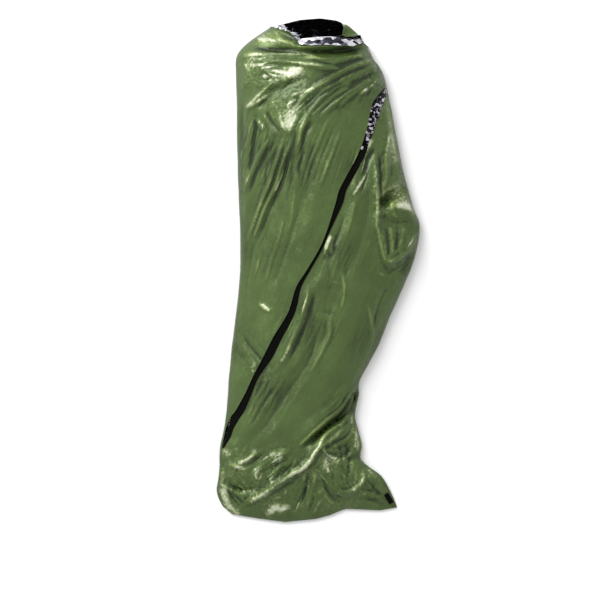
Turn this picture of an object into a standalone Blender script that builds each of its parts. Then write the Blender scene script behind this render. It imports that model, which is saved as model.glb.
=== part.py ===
"""Emergency sleeping bag of thin metallised film, laid out on its back with its side opening closed.

One sheet of film is wound into a flat-bottomed tube. It is welded across the foot (-Y), open at the mouth
(+Y), and its free edge runs from the right side of the mouth across the front to the left side of the foot.
That edge, the flap, laps over the tape on the other edge. The origin is on the floor, under the middle.
"""

import math
from collections import namedtuple

import bmesh
import bpy
import numpy as np
from mathutils import Vector
from mathutils.bvhtree import BVHTree

# Driving dimensions, in metres
FILM_THICKNESS = 0.002
LAP_DEPTH = 0.0068          # how far the under edge lies below the flap
LAP_FADE = (0.026, 0.075)   # distance right of the flap's edge over which the under layer rises again
LAP_WIDTH = 0.006           # film left of the tape, under the flap
TAPE_WIDTH = 0.030
TAPE_THICKNESS = 0.0012
SEAT_GAP = 0.00035          # between the film and what is fixed on it
TAB_WIDTH = 0.016
TAB_LENGTH = 0.036
TAB_THICKNESS = 0.0012
TAB_GAP = 0.0012            # wider than the tape's, because the tab spans the film's creases
TAB_START = Vector((0.2195, -0.729))
TAB_ALONG = Vector((0.50, -0.87)).normalized()
TAB_GRID = 7
TAB_PROBE = 1.0             # height above the bag from which the film under the tab is found

# Mesh pitches
COLUMN_PITCH = 0.027
FLAP_COLUMNS = (0.0, 0.013, 0.027)
SIDE_COLUMNS = ((0.020, 0.5), (0.006, 0.2))     # in from each side: distance, most share of a panel
LEAST_COLUMN = 0.004        # narrowest column kept beside the tape
BOTTOM_PANELS = 8

# The side of a section, from its widest point to the floor: share of the width, share of the height
SIDE_STEPS = ((0.004, 0.55), (0.015, 0.20), (0.035, 0.0))
SIDE_SHARE = 0.20           # height of the widest point, as a share of the crown
SIDE_LEAST = 0.0035
CROWN_POWER = 2.2
NORMAL_STEP = 0.004         # share of the width over which the section's slope is measured
ROUNDNESS = (0.3, 0.7)      # of the welded foot, where the film lies flat, and of the full bag
FULL_CROWN = 0.070

Section = namedtuple("Section", "left right crown rows")
SlitPoint = namedtuple("SlitPoint", "x y tape_shows")
Edge = namedtuple("Edge", "x reach")
Roll = namedtuple("Roll", "x length bend turn")
Fold = namedtuple("Fold", "height left_width right_width route")

# Outline and crown height from the foot to the mouth, and the rows of mesh up to the next section
SECTIONS = (
    Section(left=(-0.312, -0.770), right=(0.255, -0.774), crown=0.009, rows=1),
    Section(left=(-0.325, -0.744), right=(0.247, -0.752), crown=0.026, rows=1),
    Section(left=(-0.330, -0.717), right=(0.232, -0.718), crown=0.044, rows=2),
    Section(left=(-0.325, -0.681), right=(0.203, -0.671), crown=0.062, rows=2),
    Section(left=(-0.322, -0.645), right=(0.161, -0.640), crown=0.072, rows=2),
    Section(left=(-0.322, -0.609), right=(0.136, -0.613), crown=0.078, rows=2),
    Section(left=(-0.318, -0.570), right=(0.141, -0.570), crown=0.083, rows=2),
    Section(left=(-0.307, -0.522), right=(0.130, -0.522), crown=0.088, rows=2),
    Section(left=(-0.299, -0.466), right=(0.119, -0.473), crown=0.091, rows=2),
    Section(left=(-0.294, -0.398), right=(0.130, -0.408), crown=0.096, rows=2),
    Section(left=(-0.291, -0.343), right=(0.135, -0.359), crown=0.100, rows=3),
    Section(left=(-0.281, -0.252), right=(0.193, -0.249), crown=0.109, rows=4),
    Section(left=(-0.268, -0.145), right=(0.239, -0.138), crown=0.118, rows=3),
    Section(left=(-0.257, -0.044), right=(0.281, -0.044), crown=0.126, rows=3),
    Section(left=(-0.254, 0.047), right=(0.314, 0.047), crown=0.131, rows=3),
    Section(left=(-0.255, 0.135), right=(0.328, 0.141), crown=0.134, rows=3),
    Section(left=(-0.258, 0.210), right=(0.306, 0.206), crown=0.136, rows=4),
    Section(left=(-0.262, 0.340), right=(0.271, 0.336), crown=0.141, rows=4),
    Section(left=(-0.265, 0.453), right=(0.249, 0.453), crown=0.145, rows=4),
    Section(left=(-0.266, 0.567), right=(0.229, 0.561), crown=0.144, rows=4),
    Section(left=(-0.268, 0.642), right=(0.206, 0.642), crown=0.137, rows=3),
    Section(left=(-0.265, 0.694), right=(0.179, 0.681), crown=0.126, rows=3),
    Section(left=(-0.229, 0.736), right=(0.171, 0.700), crown=0.112, rows=3),
    Section(left=(-0.158, 0.785), right=(0.164, 0.717), crown=0.100, rows=0),
)

# The flap's edge from the mouth to the foot, and how much of the tape shows beside it
SLIT = (
    SlitPoint(x=0.226, y=0.603, tape_shows=0.002),
    SlitPoint(x=0.177, y=0.541, tape_shows=0.008),
    SlitPoint(x=0.164, y=0.492, tape_shows=0.008),
    SlitPoint(x=0.154, y=0.447, tape_shows=0.012),
    SlitPoint(x=0.135, y=0.388, tape_shows=0.024),
    SlitPoint(x=0.112, y=0.340, tape_shows=0.026),
    SlitPoint(x=0.068, y=0.258, tape_shows=0.024),
    SlitPoint(x=0.054, y=0.210, tape_shows=0.024),
    SlitPoint(x=0.024, y=0.115, tape_shows=0.010),
    SlitPoint(x=-0.002, y=0.057, tape_shows=0.010),
    SlitPoint(x=-0.041, y=-0.008, tape_shows=0.012),
    SlitPoint(x=-0.073, y=-0.060, tape_shows=0.016),
    SlitPoint(x=-0.099, y=-0.141, tape_shows=0.022),
    SlitPoint(x=-0.146, y=-0.219, tape_shows=0.029),
    SlitPoint(x=-0.180, y=-0.286, tape_shows=0.029),
    SlitPoint(x=-0.213, y=-0.349, tape_shows=0.018),
    SlitPoint(x=-0.239, y=-0.405, tape_shows=0.020),
    SlitPoint(x=-0.268, y=-0.457, tape_shows=0.026),
    SlitPoint(x=-0.286, y=-0.482, tape_shows=0.027),
    SlitPoint(x=-0.301, y=-0.518, tape_shows=0.021),
    SlitPoint(x=-0.311, y=-0.547, tape_shows=0.018),
    SlitPoint(x=-0.316, y=-0.580, tape_shows=0.008),
)
SLIT_TOP = SLIT[0].y
SLIT_END = SLIT[-1].y
SLIT_CLOSING = 0.075        # length before the slit's end over which the lap narrows
LAP_CLOSING = 0.045         # length over which it loses its depth
SLIT_GAP = 0.002            # width of the slit at its end, where the edges no longer lap
SLIT_TRIES = 8              # steps that bring the slit's curve and a section together
SEAM_SHARE = 0.012          # nearest that the slit runs to the left side, as a share of the width
SIDE_KEPT = 0.012           # width of the flap, beside the left side, under which nothing laps
TAPE_INSET = 0.002          # from the under layer's edge to the tape, where the lap is narrow

# How far the ends reach past the straight line across the outermost sections
FOOT_EDGE = (
    Edge(x=-0.312, reach=0.0),
    Edge(x=-0.281, reach=0.026),
    Edge(x=-0.190, reach=0.040),
    Edge(x=-0.109, reach=0.050),
    Edge(x=-0.011, reach=0.040),
    Edge(x=0.037, reach=0.027),
    Edge(x=0.086, reach=0.006),
    Edge(x=0.200, reach=0.010),
    Edge(x=0.255, reach=0.0),
)
MOUTH_FRONT = (
    Edge(x=-0.158, reach=0.0),
    Edge(x=-0.109, reach=-0.013),
    Edge(x=-0.060, reach=-0.020),
    Edge(x=-0.011, reach=0.002),
    Edge(x=0.037, reach=0.014),
    Edge(x=0.096, reach=0.022),
    Edge(x=0.132, reach=0.018),
    Edge(x=0.164, reach=0.0),
)
MOUTH_BACK = (
    Edge(x=-0.158, reach=0.0),
    Edge(x=-0.112, reach=0.018),
    Edge(x=-0.060, reach=0.040),
    Edge(x=0.005, reach=0.056),
    Edge(x=0.057, reach=0.060),
    Edge(x=0.096, reach=0.050),
    Edge(x=0.132, reach=0.024),
    Edge(x=0.164, reach=0.0),
)
FOOT_INSET = (0.008, 0.003) # the inner face's distance from the weld, at its ends and along it
FOOT_EDGE_RUN = 0.150       # length of bag over which the foot's curve straightens out
MOUTH_EDGE_RUN = 0.110

# The rim past the mouth: a cuff turned out at the front, a collar curled forward at the back's right
FRONT_ROLL = (
    Roll(x=-0.158, length=0.003, bend=0.003, turn=0),
    Roll(x=-0.110, length=0.010, bend=0.009, turn=40),
    Roll(x=-0.060, length=0.022, bend=0.012, turn=140),
    Roll(x=0.000, length=0.030, bend=0.012, turn=170),
    Roll(x=0.085, length=0.030, bend=0.012, turn=168),
    Roll(x=0.115, length=0.018, bend=0.012, turn=90),
    Roll(x=0.138, length=0.008, bend=0.008, turn=10),
    Roll(x=0.150, length=0.005, bend=0.005, turn=0),
    Roll(x=0.164, length=0.005, bend=0.005, turn=0),
)
BACK_ROLL = (
    Roll(x=-0.158, length=0.003, bend=0.003, turn=0),
    Roll(x=0.010, length=0.010, bend=0.009, turn=5),
    Roll(x=0.045, length=0.026, bend=0.020, turn=90),
    Roll(x=0.070, length=0.040, bend=0.026, turn=155),
    Roll(x=0.098, length=0.034, bend=0.024, turn=130),
    Roll(x=0.122, length=0.014, bend=0.012, turn=35),
    Roll(x=0.142, length=0.006, bend=0.006, turn=5),
    Roll(x=0.164, length=0.005, bend=0.005, turn=0),
)
ROLL_STEPS = (0.33, 0.66, 1.0)
SLOPE_STEP = 0.2            # part of a section over which the front's slope at the mouth is measured
SLOPE_RANGE = (-0.3, 0.6)   # least and most slope, in radians, with which the front runs into its roll
SLOPE_MARGIN = 0.2          # share of the width over which that slope fades towards each side
ROLL_PIECE = 0.0005         # straight piece by which a roll is followed

# Main folds of the front: a positive height is a ridge, a negative one a trough
FOLDS = (
    # yoke and chest
    Fold(-0.020, 0.016, 0.015, ((-0.255, 0.714), (-0.119, 0.706), (-0.030, 0.698), (0.060, 0.703),
         (0.160, 0.716))),
    Fold(0.009, 0.017, 0.020, ((-0.215, 0.694), (-0.110, 0.684), (-0.030, 0.678), (0.080, 0.650))),
    Fold(-0.009, 0.018, 0.018, ((-0.235, 0.640), (-0.150, 0.632), (-0.050, 0.640), (0.060, 0.612))),
    Fold(0.010, 0.015, 0.020, ((-0.247, 0.518), (-0.185, 0.555), (-0.125, 0.600), (-0.060, 0.606))),
    Fold(-0.011, 0.015, 0.016, ((-0.205, 0.505), (-0.158, 0.556), (-0.095, 0.585), (-0.020, 0.618))),
    Fold(0.008, 0.030, 0.026, ((-0.150, 0.575), (-0.095, 0.520), (-0.100, 0.430))),
    # creases from the right shoulder
    Fold(0.008, 0.015, 0.016, ((0.186, 0.672), (0.102, 0.629), (0.030, 0.588), (-0.060, 0.540))),
    Fold(-0.008, 0.014, 0.014, ((0.192, 0.648), (0.100, 0.600), (0.010, 0.556), (-0.045, 0.500))),
    Fold(0.008, 0.014, 0.016, ((0.190, 0.622), (0.110, 0.575), (0.030, 0.520), (-0.035, 0.470))),
    # long folds down the left front
    Fold(0.012, 0.014, 0.014, ((-0.020, 0.505), (-0.055, 0.440), (-0.068, 0.340), (-0.080, 0.220),
         (-0.105, 0.090))),
    Fold(-0.010, 0.015, 0.014, ((-0.010, 0.440), (-0.028, 0.340), (-0.042, 0.230), (-0.075, 0.080))),
    Fold(0.011, 0.013, 0.013, ((-0.108, 0.420), (-0.140, 0.300), (-0.184, 0.195), (-0.228, 0.055))),
    Fold(-0.009, 0.014, 0.014, ((-0.080, 0.400), (-0.112, 0.290), (-0.150, 0.180), (-0.205, 0.030))),
    Fold(0.009, 0.013, 0.014, ((-0.164, 0.430), (-0.208, 0.330), (-0.238, 0.235))),
    Fold(-0.008, 0.014, 0.014, ((-0.190, 0.480), (-0.214, 0.400), (-0.236, 0.300))),
    Fold(0.007, 0.020, 0.020, ((0.060, 0.430), (0.020, 0.320), (-0.020, 0.190), (-0.060, 0.060))),
    Fold(-0.008, 0.018, 0.018, ((-0.262, -0.184), (-0.215, -0.250), (-0.176, -0.296))),
    # right panel beside the tape
    Fold(-0.011, 0.016, 0.018, ((0.160, 0.262), (0.150, 0.154), (0.130, 0.080), (0.094, 0.010),
         (0.056, -0.060))),
    Fold(0.011, 0.013, 0.017, ((0.182, 0.390), (0.187, 0.288), (0.190, 0.187), (0.180, 0.110))),
    Fold(0.009, 0.013, 0.015, ((0.232, 0.460), (0.220, 0.372), (0.216, 0.290))),
    Fold(-0.020, 0.016, 0.016, ((0.292, 0.254), (0.235, 0.236), (0.200, 0.206))),
    Fold(0.016, 0.018, 0.022, ((0.225, 0.196), (0.270, 0.200), (0.322, 0.178))),
    Fold(-0.015, 0.014, 0.015, ((0.196, 0.156), (0.250, 0.150), (0.318, 0.140))),
    Fold(0.012, 0.014, 0.015, ((0.210, 0.012), (0.262, 0.048), (0.318, 0.122))),
    Fold(-0.011, 0.015, 0.015, ((0.206, -0.022), (0.262, 0.006), (0.306, 0.056))),
    Fold(0.010, 0.012, 0.013, ((-0.028, -0.045), (-0.048, -0.140), (-0.080, -0.225), (-0.150, -0.325))),
    Fold(-0.010, 0.013, 0.014, ((-0.002, -0.050), (-0.020, -0.150), (-0.052, -0.232), (-0.120, -0.336))),
    Fold(-0.014, 0.024, 0.026, ((0.052, -0.040), (0.046, -0.100), (0.030, -0.160))),
    Fold(0.016, 0.045, 0.048, ((0.180, -0.020), (0.130, -0.150), (0.070, -0.290), (-0.010, -0.420))),
    Fold(-0.013, 0.017, 0.018, ((0.012, -0.165), (-0.030, -0.290), (-0.100, -0.395), (-0.165, -0.495),
         (-0.240, -0.585))),
    # the long lap above the foot
    Fold(0.012, 0.018, 0.016, ((0.122, -0.350), (0.092, -0.392), (0.056, -0.446), (-0.010, -0.500),
         (-0.080, -0.568))),
    Fold(-0.016, 0.013, 0.014, ((0.140, -0.376), (0.112, -0.424), (0.072, -0.478), (0.004, -0.532),
         (-0.060, -0.588))),
    # foot
    Fold(0.013, 0.013, 0.014, ((0.040, -0.512), (-0.011, -0.590), (-0.050, -0.642), (-0.164, -0.716),
         (-0.250, -0.764))),
    Fold(0.010, 0.013, 0.013, ((-0.008, -0.588), (0.050, -0.546), (0.104, -0.500))),
    Fold(-0.014, 0.016, 0.016, ((0.010, -0.622), (0.062, -0.592), (0.122, -0.566))),
    Fold(0.010, 0.014, 0.014, ((-0.080, -0.585), (-0.140, -0.604), (-0.200, -0.656), (-0.190, -0.706))),
    Fold(0.009, 0.012, 0.013, ((-0.196, -0.590), (-0.236, -0.618), (-0.290, -0.634))),
    Fold(-0.011, 0.013, 0.014, ((-0.318, -0.676), (-0.278, -0.706), (-0.230, -0.714), (-0.170, -0.712))),
    Fold(-0.009, 0.013, 0.013, ((-0.030, -0.650), (-0.042, -0.708), (-0.070, -0.770))),
    Fold(-0.009, 0.013, 0.013, ((0.010, -0.660), (0.026, -0.710), (0.070, -0.752))),
    Fold(0.011, 0.014, 0.014, ((0.040, -0.700), (0.088, -0.722), (0.130, -0.702), (0.150, -0.655))),
)
FOLD_ENDS = 0.25            # share of a fold's length over which it fades in and out
FOLD_MARGIN = 0.09          # share of the width over which folds fade towards each side
FOLD_START = (0.3, 2.3)     # sections at the foot between which folds grow to full height
FOLD_LEAST = 0.4            # lowest that a trough may bring the front, as a share of the crown
CURVE_STEPS = 6             # straight pieces between two points of a fold's route

FILM_COLOUR = "5e7045"
FILM_ROUGHNESS = 0.35
FILM_METALLIC = 0.85
TAPE_COLOUR = "121310"
TAPE_ROUGHNESS = 0.9


def smooth(t):
    """Smoothstep between 0 and 1."""
    t = min(max(t, 0.0), 1.0)
    return t * t * (3.0 - 2.0 * t)


def spline(rows, t):
    """Value at the real index t of a smooth curve through the rows."""
    last = len(rows) - 1
    i = min(max(int(math.floor(t)), 0), last - 1)
    f = t - i
    before, a, b, after = (np.array(rows[min(max(k, 0), last)], float) for k in range(i - 1, i + 3))
    slope_a = (b - before) / 2
    slope_b = (after - a) / 2
    places = a + (b - a) * (3 * f ** 2 - 2 * f ** 3)
    return places + slope_a * (f ** 3 - 2 * f ** 2 + f) + slope_b * (f ** 3 - f ** 2)


def by_x(table, column, x):
    """A column of a table, read between its rows at x."""
    return float(np.interp(x, [row.x for row in table], [getattr(row, column) for row in table]))


def section_at(v):
    """Left point, right point and crown height at the real section index v."""
    rows = [(*s.left, *s.right, s.crown) for s in SECTIONS]
    lx, ly, rx, ry, crown = spline(rows, v)
    return Vector((lx, ly)), Vector((rx, ry)), crown


def plan_point(v, share, front):
    """Plan position at a share of the width, with the curve of the foot and of the mouth."""
    left, right, _ = section_at(v)
    place = left.lerp(right, share)
    foot, mouth = SECTIONS[0], SECTIONS[-1]
    from_foot = abs(place.y - foot.left[1]) / FOOT_EDGE_RUN
    mouth_y = mouth.left[1] + share * (mouth.right[1] - mouth.left[1])
    from_mouth = abs(place.y - mouth_y) / MOUTH_EDGE_RUN
    if from_foot < 1.0:
        x = foot.left[0] + share * (foot.right[0] - foot.left[0])
        place.y -= by_x(FOOT_EDGE, "reach", x) * (1.0 - smooth(from_foot))
    if from_mouth < 1.0:
        x = mouth.left[0] + share * (mouth.right[0] - mouth.left[0])
        place.y += by_x(MOUTH_FRONT if front else MOUTH_BACK, "reach", x) * (1.0 - smooth(from_mouth))
    return place


def side_height(crown):
    """Height of a section's widest point."""
    return max(SIDE_SHARE * crown, SIDE_LEAST)


def crown_height(v, share):
    """Height of the front at a share of the width, without folds."""
    _, _, crown = section_at(v)
    side = side_height(crown)
    bulge = 1.0 - abs(2.0 * share - 1.0) ** CROWN_POWER
    flat, full = ROUNDNESS
    roundness = flat + (full - flat) * smooth(crown / FULL_CROWN)
    return side + (crown - side) * max(bulge, 0.0) ** roundness


def route_points(fold):
    """A fold's route as a fine chain of straight pieces."""
    count = (len(fold.route) - 1) * CURVE_STEPS
    return [spline(fold.route, i / CURVE_STEPS) for i in range(count + 1)]


ROUTES = [np.array(route_points(fold)) for fold in FOLDS]


def fold_height(x, y):
    """Sum of the folds at a plan point."""
    total = 0.0
    for fold, route in zip(FOLDS, ROUTES):
        reach = 3.0 * max(fold.left_width, fold.right_width)
        low, high = route.min(axis=0) - reach, route.max(axis=0) + reach
        if not (low[0] < x < high[0] and low[1] < y < high[1]):
            continue
        a = route[:-1]
        step = route[1:] - a
        offset = np.array((x, y)) - a
        along = np.clip((offset * step).sum(axis=1) / (step ** 2).sum(axis=1), 0.0, 1.0)
        miss = offset - step * along[:, None]
        distance = np.hypot(miss[:, 0], miss[:, 1])
        nearest = int(distance.argmin())
        cross = step[nearest][0] * offset[nearest][1] - step[nearest][1] * offset[nearest][0]
        width = fold.left_width if cross > 0 else fold.right_width
        place = (nearest + along[nearest]) / len(step)
        ends = smooth(min(place, 1.0 - place) / FOLD_ENDS)
        total += fold.height * ends * math.exp(-((distance[nearest] / width) ** 2))
    return total


def front_point(v, share):
    """A point of the film's outer face on the front, folds included."""
    place = plan_point(v, share, front=True)
    crown = section_at(v)[2]
    margin = smooth(min(share, 1.0 - share) / FOLD_MARGIN)
    start, full = FOLD_START
    relief = fold_height(place.x, place.y) * margin * smooth((v - start) / (full - start))
    height = max(crown_height(v, share) + relief, FOLD_LEAST * crown * margin)
    return Vector((place.x, place.y, height))


def inward(v, share):
    """Unit vector across the bag's section at a front point, pointing into the bag."""
    a = max(share - NORMAL_STEP, 0.0)
    b = min(share + NORMAL_STEP, 1.0)
    left, right, _ = section_at(v)
    run = (right.x - left.x) * (b - a)
    rise = crown_height(v, b) - crown_height(v, a)
    return Vector((rise, 0.0, -run)).normalized()


def slit_curve():
    """The slit's table as a fine curve, from the foot to the mouth."""
    count = (len(SLIT) - 1) * CURVE_STEPS
    return np.array([spline(SLIT, i / CURVE_STEPS) for i in range(count, -1, -1)])


SLIT_X, SLIT_Y, TAPE_SHOWS = slit_curve().T


def slit_share(v):
    """Share of the width at which the flap's edge crosses the section."""
    left, right, _ = section_at(v)
    share = 0.5
    for _ in range(SLIT_TRIES):
        y = left.y + share * (right.y - left.y)
        if y >= SLIT_TOP:
            share = 1.0
            continue
        x = float(np.interp(y, SLIT_Y, SLIT_X))
        share = min((x - left.x) / (right.x - left.x), 1.0)
    return max(share, SEAM_SHARE), left.y + share * (right.y - left.y)


def spread(start, end, pitch):
    """Even steps from start to end, without the start."""
    count = max(1, round((end - start) / pitch))
    return [start + (end - start) * i / count for i in range(1, count + 1)]


def back_profile():
    """Shares of the width and of the side's height, from the left side round the back to the right."""
    first = SIDE_STEPS[-1][0]
    flat = [(first + (1.0 - 2.0 * first) * i / BOTTOM_PANELS, 0.0) for i in range(1, BOTTOM_PANELS)]
    return [*SIDE_STEPS, *flat, *((1.0 - share, part) for share, part in reversed(SIDE_STEPS))]


BACK_PROFILE = back_profile()


def side_columns(start, total):
    """The last columns before a side, where the film turns down."""
    run = total - start
    return [total - min(distance, share * run) for distance, share in SIDE_COLUMNS] + [total]


class Row:
    """A row of the film across the bag, from the flap's edge, round the back, to the under edge."""

    def __init__(self, v):
        self.v = v
        left, right, self.crown = section_at(v)
        self.width = right.x - left.x
        self.slit, self.y = slit_share(v)
        self.open = self.y > SLIT_END
        from_end = self.y - SLIT_END
        shows = float(np.interp(self.y, SLIT_Y, TAPE_SHOWS))
        self.lap = LAP_DEPTH * smooth(from_end / LAP_CLOSING)
        self.under_edge = self.edge_distance(shows, smooth(from_end / SLIT_CLOSING)) if self.open else 0.0
        hidden = max(shows - TAPE_WIDTH, self.under_edge + TAPE_INSET)
        self.tape = [hidden, (hidden + shows) / 2, shows]
        self.flap = self.flap_distances()
        self.under = self.under_distances()
        self.build()

    def edge_distance(self, shows, lapping):
        """How far right of the flap's edge the under layer begins, which is less than zero in the lap."""
        free = min(SIDE_KEPT - self.slit * self.width, SLIT_GAP)
        return max(shows - TAPE_WIDTH - LAP_WIDTH, free) * lapping + SLIT_GAP * (1.0 - lapping)

    def flap_distances(self):
        """Distances left of the flap's edge, up to the left side."""
        total = self.slit * self.width
        sides = side_columns(0.0, total)
        near = [d for d in FLAP_COLUMNS if d == 0.0 or d < sides[0] - COLUMN_PITCH / 2]
        return near + spread(near[-1], sides[0], COLUMN_PITCH)[:-1] + sides

    def under_distances(self):
        """Distances right of the flap's edge, from the under edge up to the right side."""
        total = (1.0 - self.slit) * self.width
        sides = side_columns(self.under_edge, total)
        low, high = self.under_edge + LAP_WIDTH / 4, sides[0] - LEAST_COLUMN
        near = [self.under_edge] + [d for d in self.tape if low < d < high]
        return near + spread(near[-1], sides[0], COLUMN_PITCH)[:-1] + sides

    def share(self, distance):
        """Share of the width at a distance right of the flap's edge."""
        return min(max(self.slit + distance / self.width, 0.0), 1.0)

    def under_point(self, distance, lift=0.0):
        """A point of the under layer, sunk below the flap beside the slit."""
        start, end = LAP_FADE
        depth = self.lap * (1.0 - smooth((distance - start) / (end - start)))
        share = self.share(distance)
        return front_point(self.v, share) + inward(self.v, share) * (depth - lift)

    def back_point(self, share, height):
        place = plan_point(self.v, share, front=False)
        return Vector((place.x, place.y, height))

    def build(self):
        side = side_height(self.crown)
        flap_shares = [self.share(-d) for d in self.flap]
        under_shares = [self.share(d) for d in reversed(self.under)]
        flap = [front_point(self.v, share) for share in flap_shares]
        back = [self.back_point(share, part * side) for share, part in BACK_PROFILE]
        under = [self.under_point(d) for d in reversed(self.under)]
        self.points = flap + back + under
        self.front_shares = flap_shares + [None] * len(back) + under_shares


def row_positions():
    """Real section indices of the rows."""
    places = [0.0]
    for i, section in enumerate(SECTIONS[:-1]):
        places += spread(i, i + 1, 1.0 / section.rows)
    return places


def zipper(a, b, place_a, place_b):
    """Triangles between two chains of vertices, matched by each vertex's place."""
    faces = []
    i, j = 0, 0
    while i < len(a) - 1 or j < len(b) - 1:
        step_a = j == len(b) - 1 or (i < len(a) - 1 and place_a[i + 1] <= place_b[j + 1])
        if step_a and j < len(b) - 1 and i < len(a) - 1:
            step_a = abs(place_a[i + 1] - place_b[j]) <= abs(place_b[j + 1] - place_a[i])
        if step_a:
            faces.append((a[i], b[j], a[i + 1]))
            i += 1
        else:
            faces.append((a[i], b[j], b[j + 1]))
            j += 1
    return faces


def strip(row_a, row_b, ids_a, ids_b):
    """Faces between two neighbouring rows: flap, back with both sides, under layer."""
    sides = len(SIDE_COLUMNS)
    a, b = len(row_a.flap) - sides, len(row_b.flap) - sides
    faces = zipper(ids_a[:a], ids_b[:b], row_a.flap[:a], row_b.flap[:b])
    around = len(BACK_PROFILE) + 2 * sides + 2
    back_a, back_b = ids_a[a - 1:a - 1 + around], ids_b[b - 1:b - 1 + around]
    places = list(range(around))
    faces += zipper(back_a, back_b, places, places)
    a, b = len(row_a.under) - sides, len(row_b.under) - sides
    under = zipper(ids_a[::-1][:a], ids_b[::-1][:b], row_a.under[:a], row_b.under[:b])
    return faces + [tuple(reversed(face)) for face in under]


def roll_offset(reach, bend, slope, turn):
    """Where a strip gets to after a length, as it turns evenly over its bend and then runs straight."""
    offset = Vector()
    pieces = max(1, round(reach / ROLL_PIECE))
    for i in range(pieces):
        along = reach * (i + 0.5) / pieces
        angle = slope + turn * min(along / bend, 1.0)
        offset += Vector((0.0, math.cos(angle), math.sin(angle))) * reach / pieces
    return offset


def rim_points(row):
    """Rows of points past the mouth: each column of the last row rolls up and over by its own turn."""
    rings = [[] for _ in range(len(ROLL_STEPS) + 1)]
    for point, share in zip(row.points, row.front_shares):
        table = BACK_ROLL if share is None else FRONT_ROLL
        length, bend, turn = (by_x(table, column, point.x) for column in ("length", "bend", "turn"))
        slope = 0.0
        if share is not None:
            rise = front_point(row.v, share) - front_point(row.v - SLOPE_STEP, share)
            slope = min(max(math.atan2(rise.z, rise.y), SLOPE_RANGE[0]), SLOPE_RANGE[1])
            slope *= smooth(min(share, 1.0 - share) / SLOPE_MARGIN)
        stops = [step * bend for step in ROLL_STEPS] + [length]
        for stop, ring in zip(stops, rings):
            ring.append(point + roll_offset(stop, bend, slope, math.radians(turn)))
    return rings


def film_face(rows):
    """Outer face of the film: its points, each row's chain of points, and its triangles."""
    points, chains, faces = [], [], []
    for row in rows:
        chain = list(range(len(points), len(points) + len(row.points)))
        points += row.points
        if not row.open:
            chain[-1] = chain[0]
        chains.append(chain)
    for a, b, chain_a, chain_b in zip(rows, rows[1:], chains, chains[1:]):
        faces += strip(a, b, chain_a, chain_b)
    for ring in rim_points(rows[-1]):
        chain = list(range(len(points), len(points) + len(ring)))
        places = list(range(len(ring)))
        points += ring
        faces += zipper(chains[-1], chain, places, places)
        chains.append(chain)
    front, back, front_places, back_places = foot_chains(rows[0], chains[0])
    cap = zipper(front, back, front_places, back_places)
    return points, whole(faces), whole(cap)


def whole(faces):
    """The triangles whose three corners differ."""
    return [face for face in faces if len(set(face)) == 3]


def inner_points(points, faces, foot):
    """The film's inner face: each point one thickness in, and the foot's row inside its weld."""
    normals = [Vector() for _ in points]
    for a, b, c in faces:
        normal = (points[b] - points[a]).cross(points[c] - points[a])
        for k in (a, b, c):
            normals[k] += normal
    inner = [p - n.normalized() * FILM_THICKNESS if n.length else p for p, n in zip(points, normals)]
    left = foot.points[len(foot.flap) - 1].x
    inset_x, inset_y = FOOT_INSET
    for k, point in enumerate(foot.points):
        share = (point.x - left) / foot.width
        z = FILM_THICKNESS + point.z * (foot.crown - 2 * FILM_THICKNESS) / foot.crown
        inner[k] = Vector((point.x + inset_x * (1.0 - 2.0 * share), point.y + inset_y, z))
    return inner


def film_object(rows):
    """The bag's film: outer face, inner face, closed foot, and rims round the free edges."""
    points, faces, cap = film_face(rows)
    size = len(points)
    inner = inner_points(points, faces, rows[0])
    outside = faces + cap
    inside = [(a + size, c + size, b + size) for a, b, c in outside]
    rims = []
    for a, b in open_edges(outside):
        rims += [(b, a, a + size), (b, a + size, b + size)]
    return make_object("bag_film", points + inner, outside + inside + rims)


def foot_chains(row, chain):
    """The foot's row as a front chain and a back chain between the same two side points."""
    flap = chain[:len(row.flap)]
    back = chain[len(flap):len(flap) + len(BACK_PROFILE)]
    under = chain[len(flap) + len(back):]
    front = flap[::-1] + under[::-1][1:]
    places = [row.slit - d / row.width for d in reversed(row.flap)]
    places += [row.slit + d / row.width for d in row.under[1:]]
    back_places = [0.0] + [share for share, _ in BACK_PROFILE] + [1.0]
    return front, [flap[-1], *back, under[0]], places, back_places


def open_edges(faces):
    """Edges that only one face uses, in that face's direction."""
    seen = set()
    for a, b, c in faces:
        seen.update(((a, b), (b, c), (c, a)))
    return [(a, b) for a, b in seen if (b, a) not in seen]


def make_object(name, points, faces):
    """An object of its own mesh, with its faces pointing out and no unused points."""
    mesh = bpy.data.meshes.new(name)
    mesh.from_pydata([tuple(p) for p in points], [], faces)
    bm = bmesh.new()
    bm.from_mesh(mesh)
    bmesh.ops.delete(bm, geom=[v for v in bm.verts if not v.link_faces], context="VERTS")
    bmesh.ops.recalc_face_normals(bm, faces=bm.faces)
    if bm.calc_volume(signed=True) < 0:
        bmesh.ops.reverse_faces(bm, faces=bm.faces)
    bm.to_mesh(mesh)
    bm.free()
    mesh.shade_smooth()
    thing = bpy.data.objects.new(name, mesh)
    bpy.context.collection.objects.link(thing)
    return thing


def slab(top, bottom, places):
    """A thin closed sheet between two grids of points, its triangles chosen as the film's are."""
    columns = len(top[0])
    size = len(top) * columns
    points = [p for line in top for p in line] + [p for line in bottom for p in line]
    upper = []
    for i in range(len(top) - 1):
        a = list(range(i * columns, (i + 1) * columns))
        b = [k + columns for k in a]
        upper += zipper(a, b, places[i], places[i + 1])
    lower = [(a + size, c + size, b + size) for a, b, c in upper]
    sides = []
    for a, b in open_edges(upper):
        sides += [(b, a, a + size), (b, a + size, b + size)]
    return points, upper + lower + sides


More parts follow.
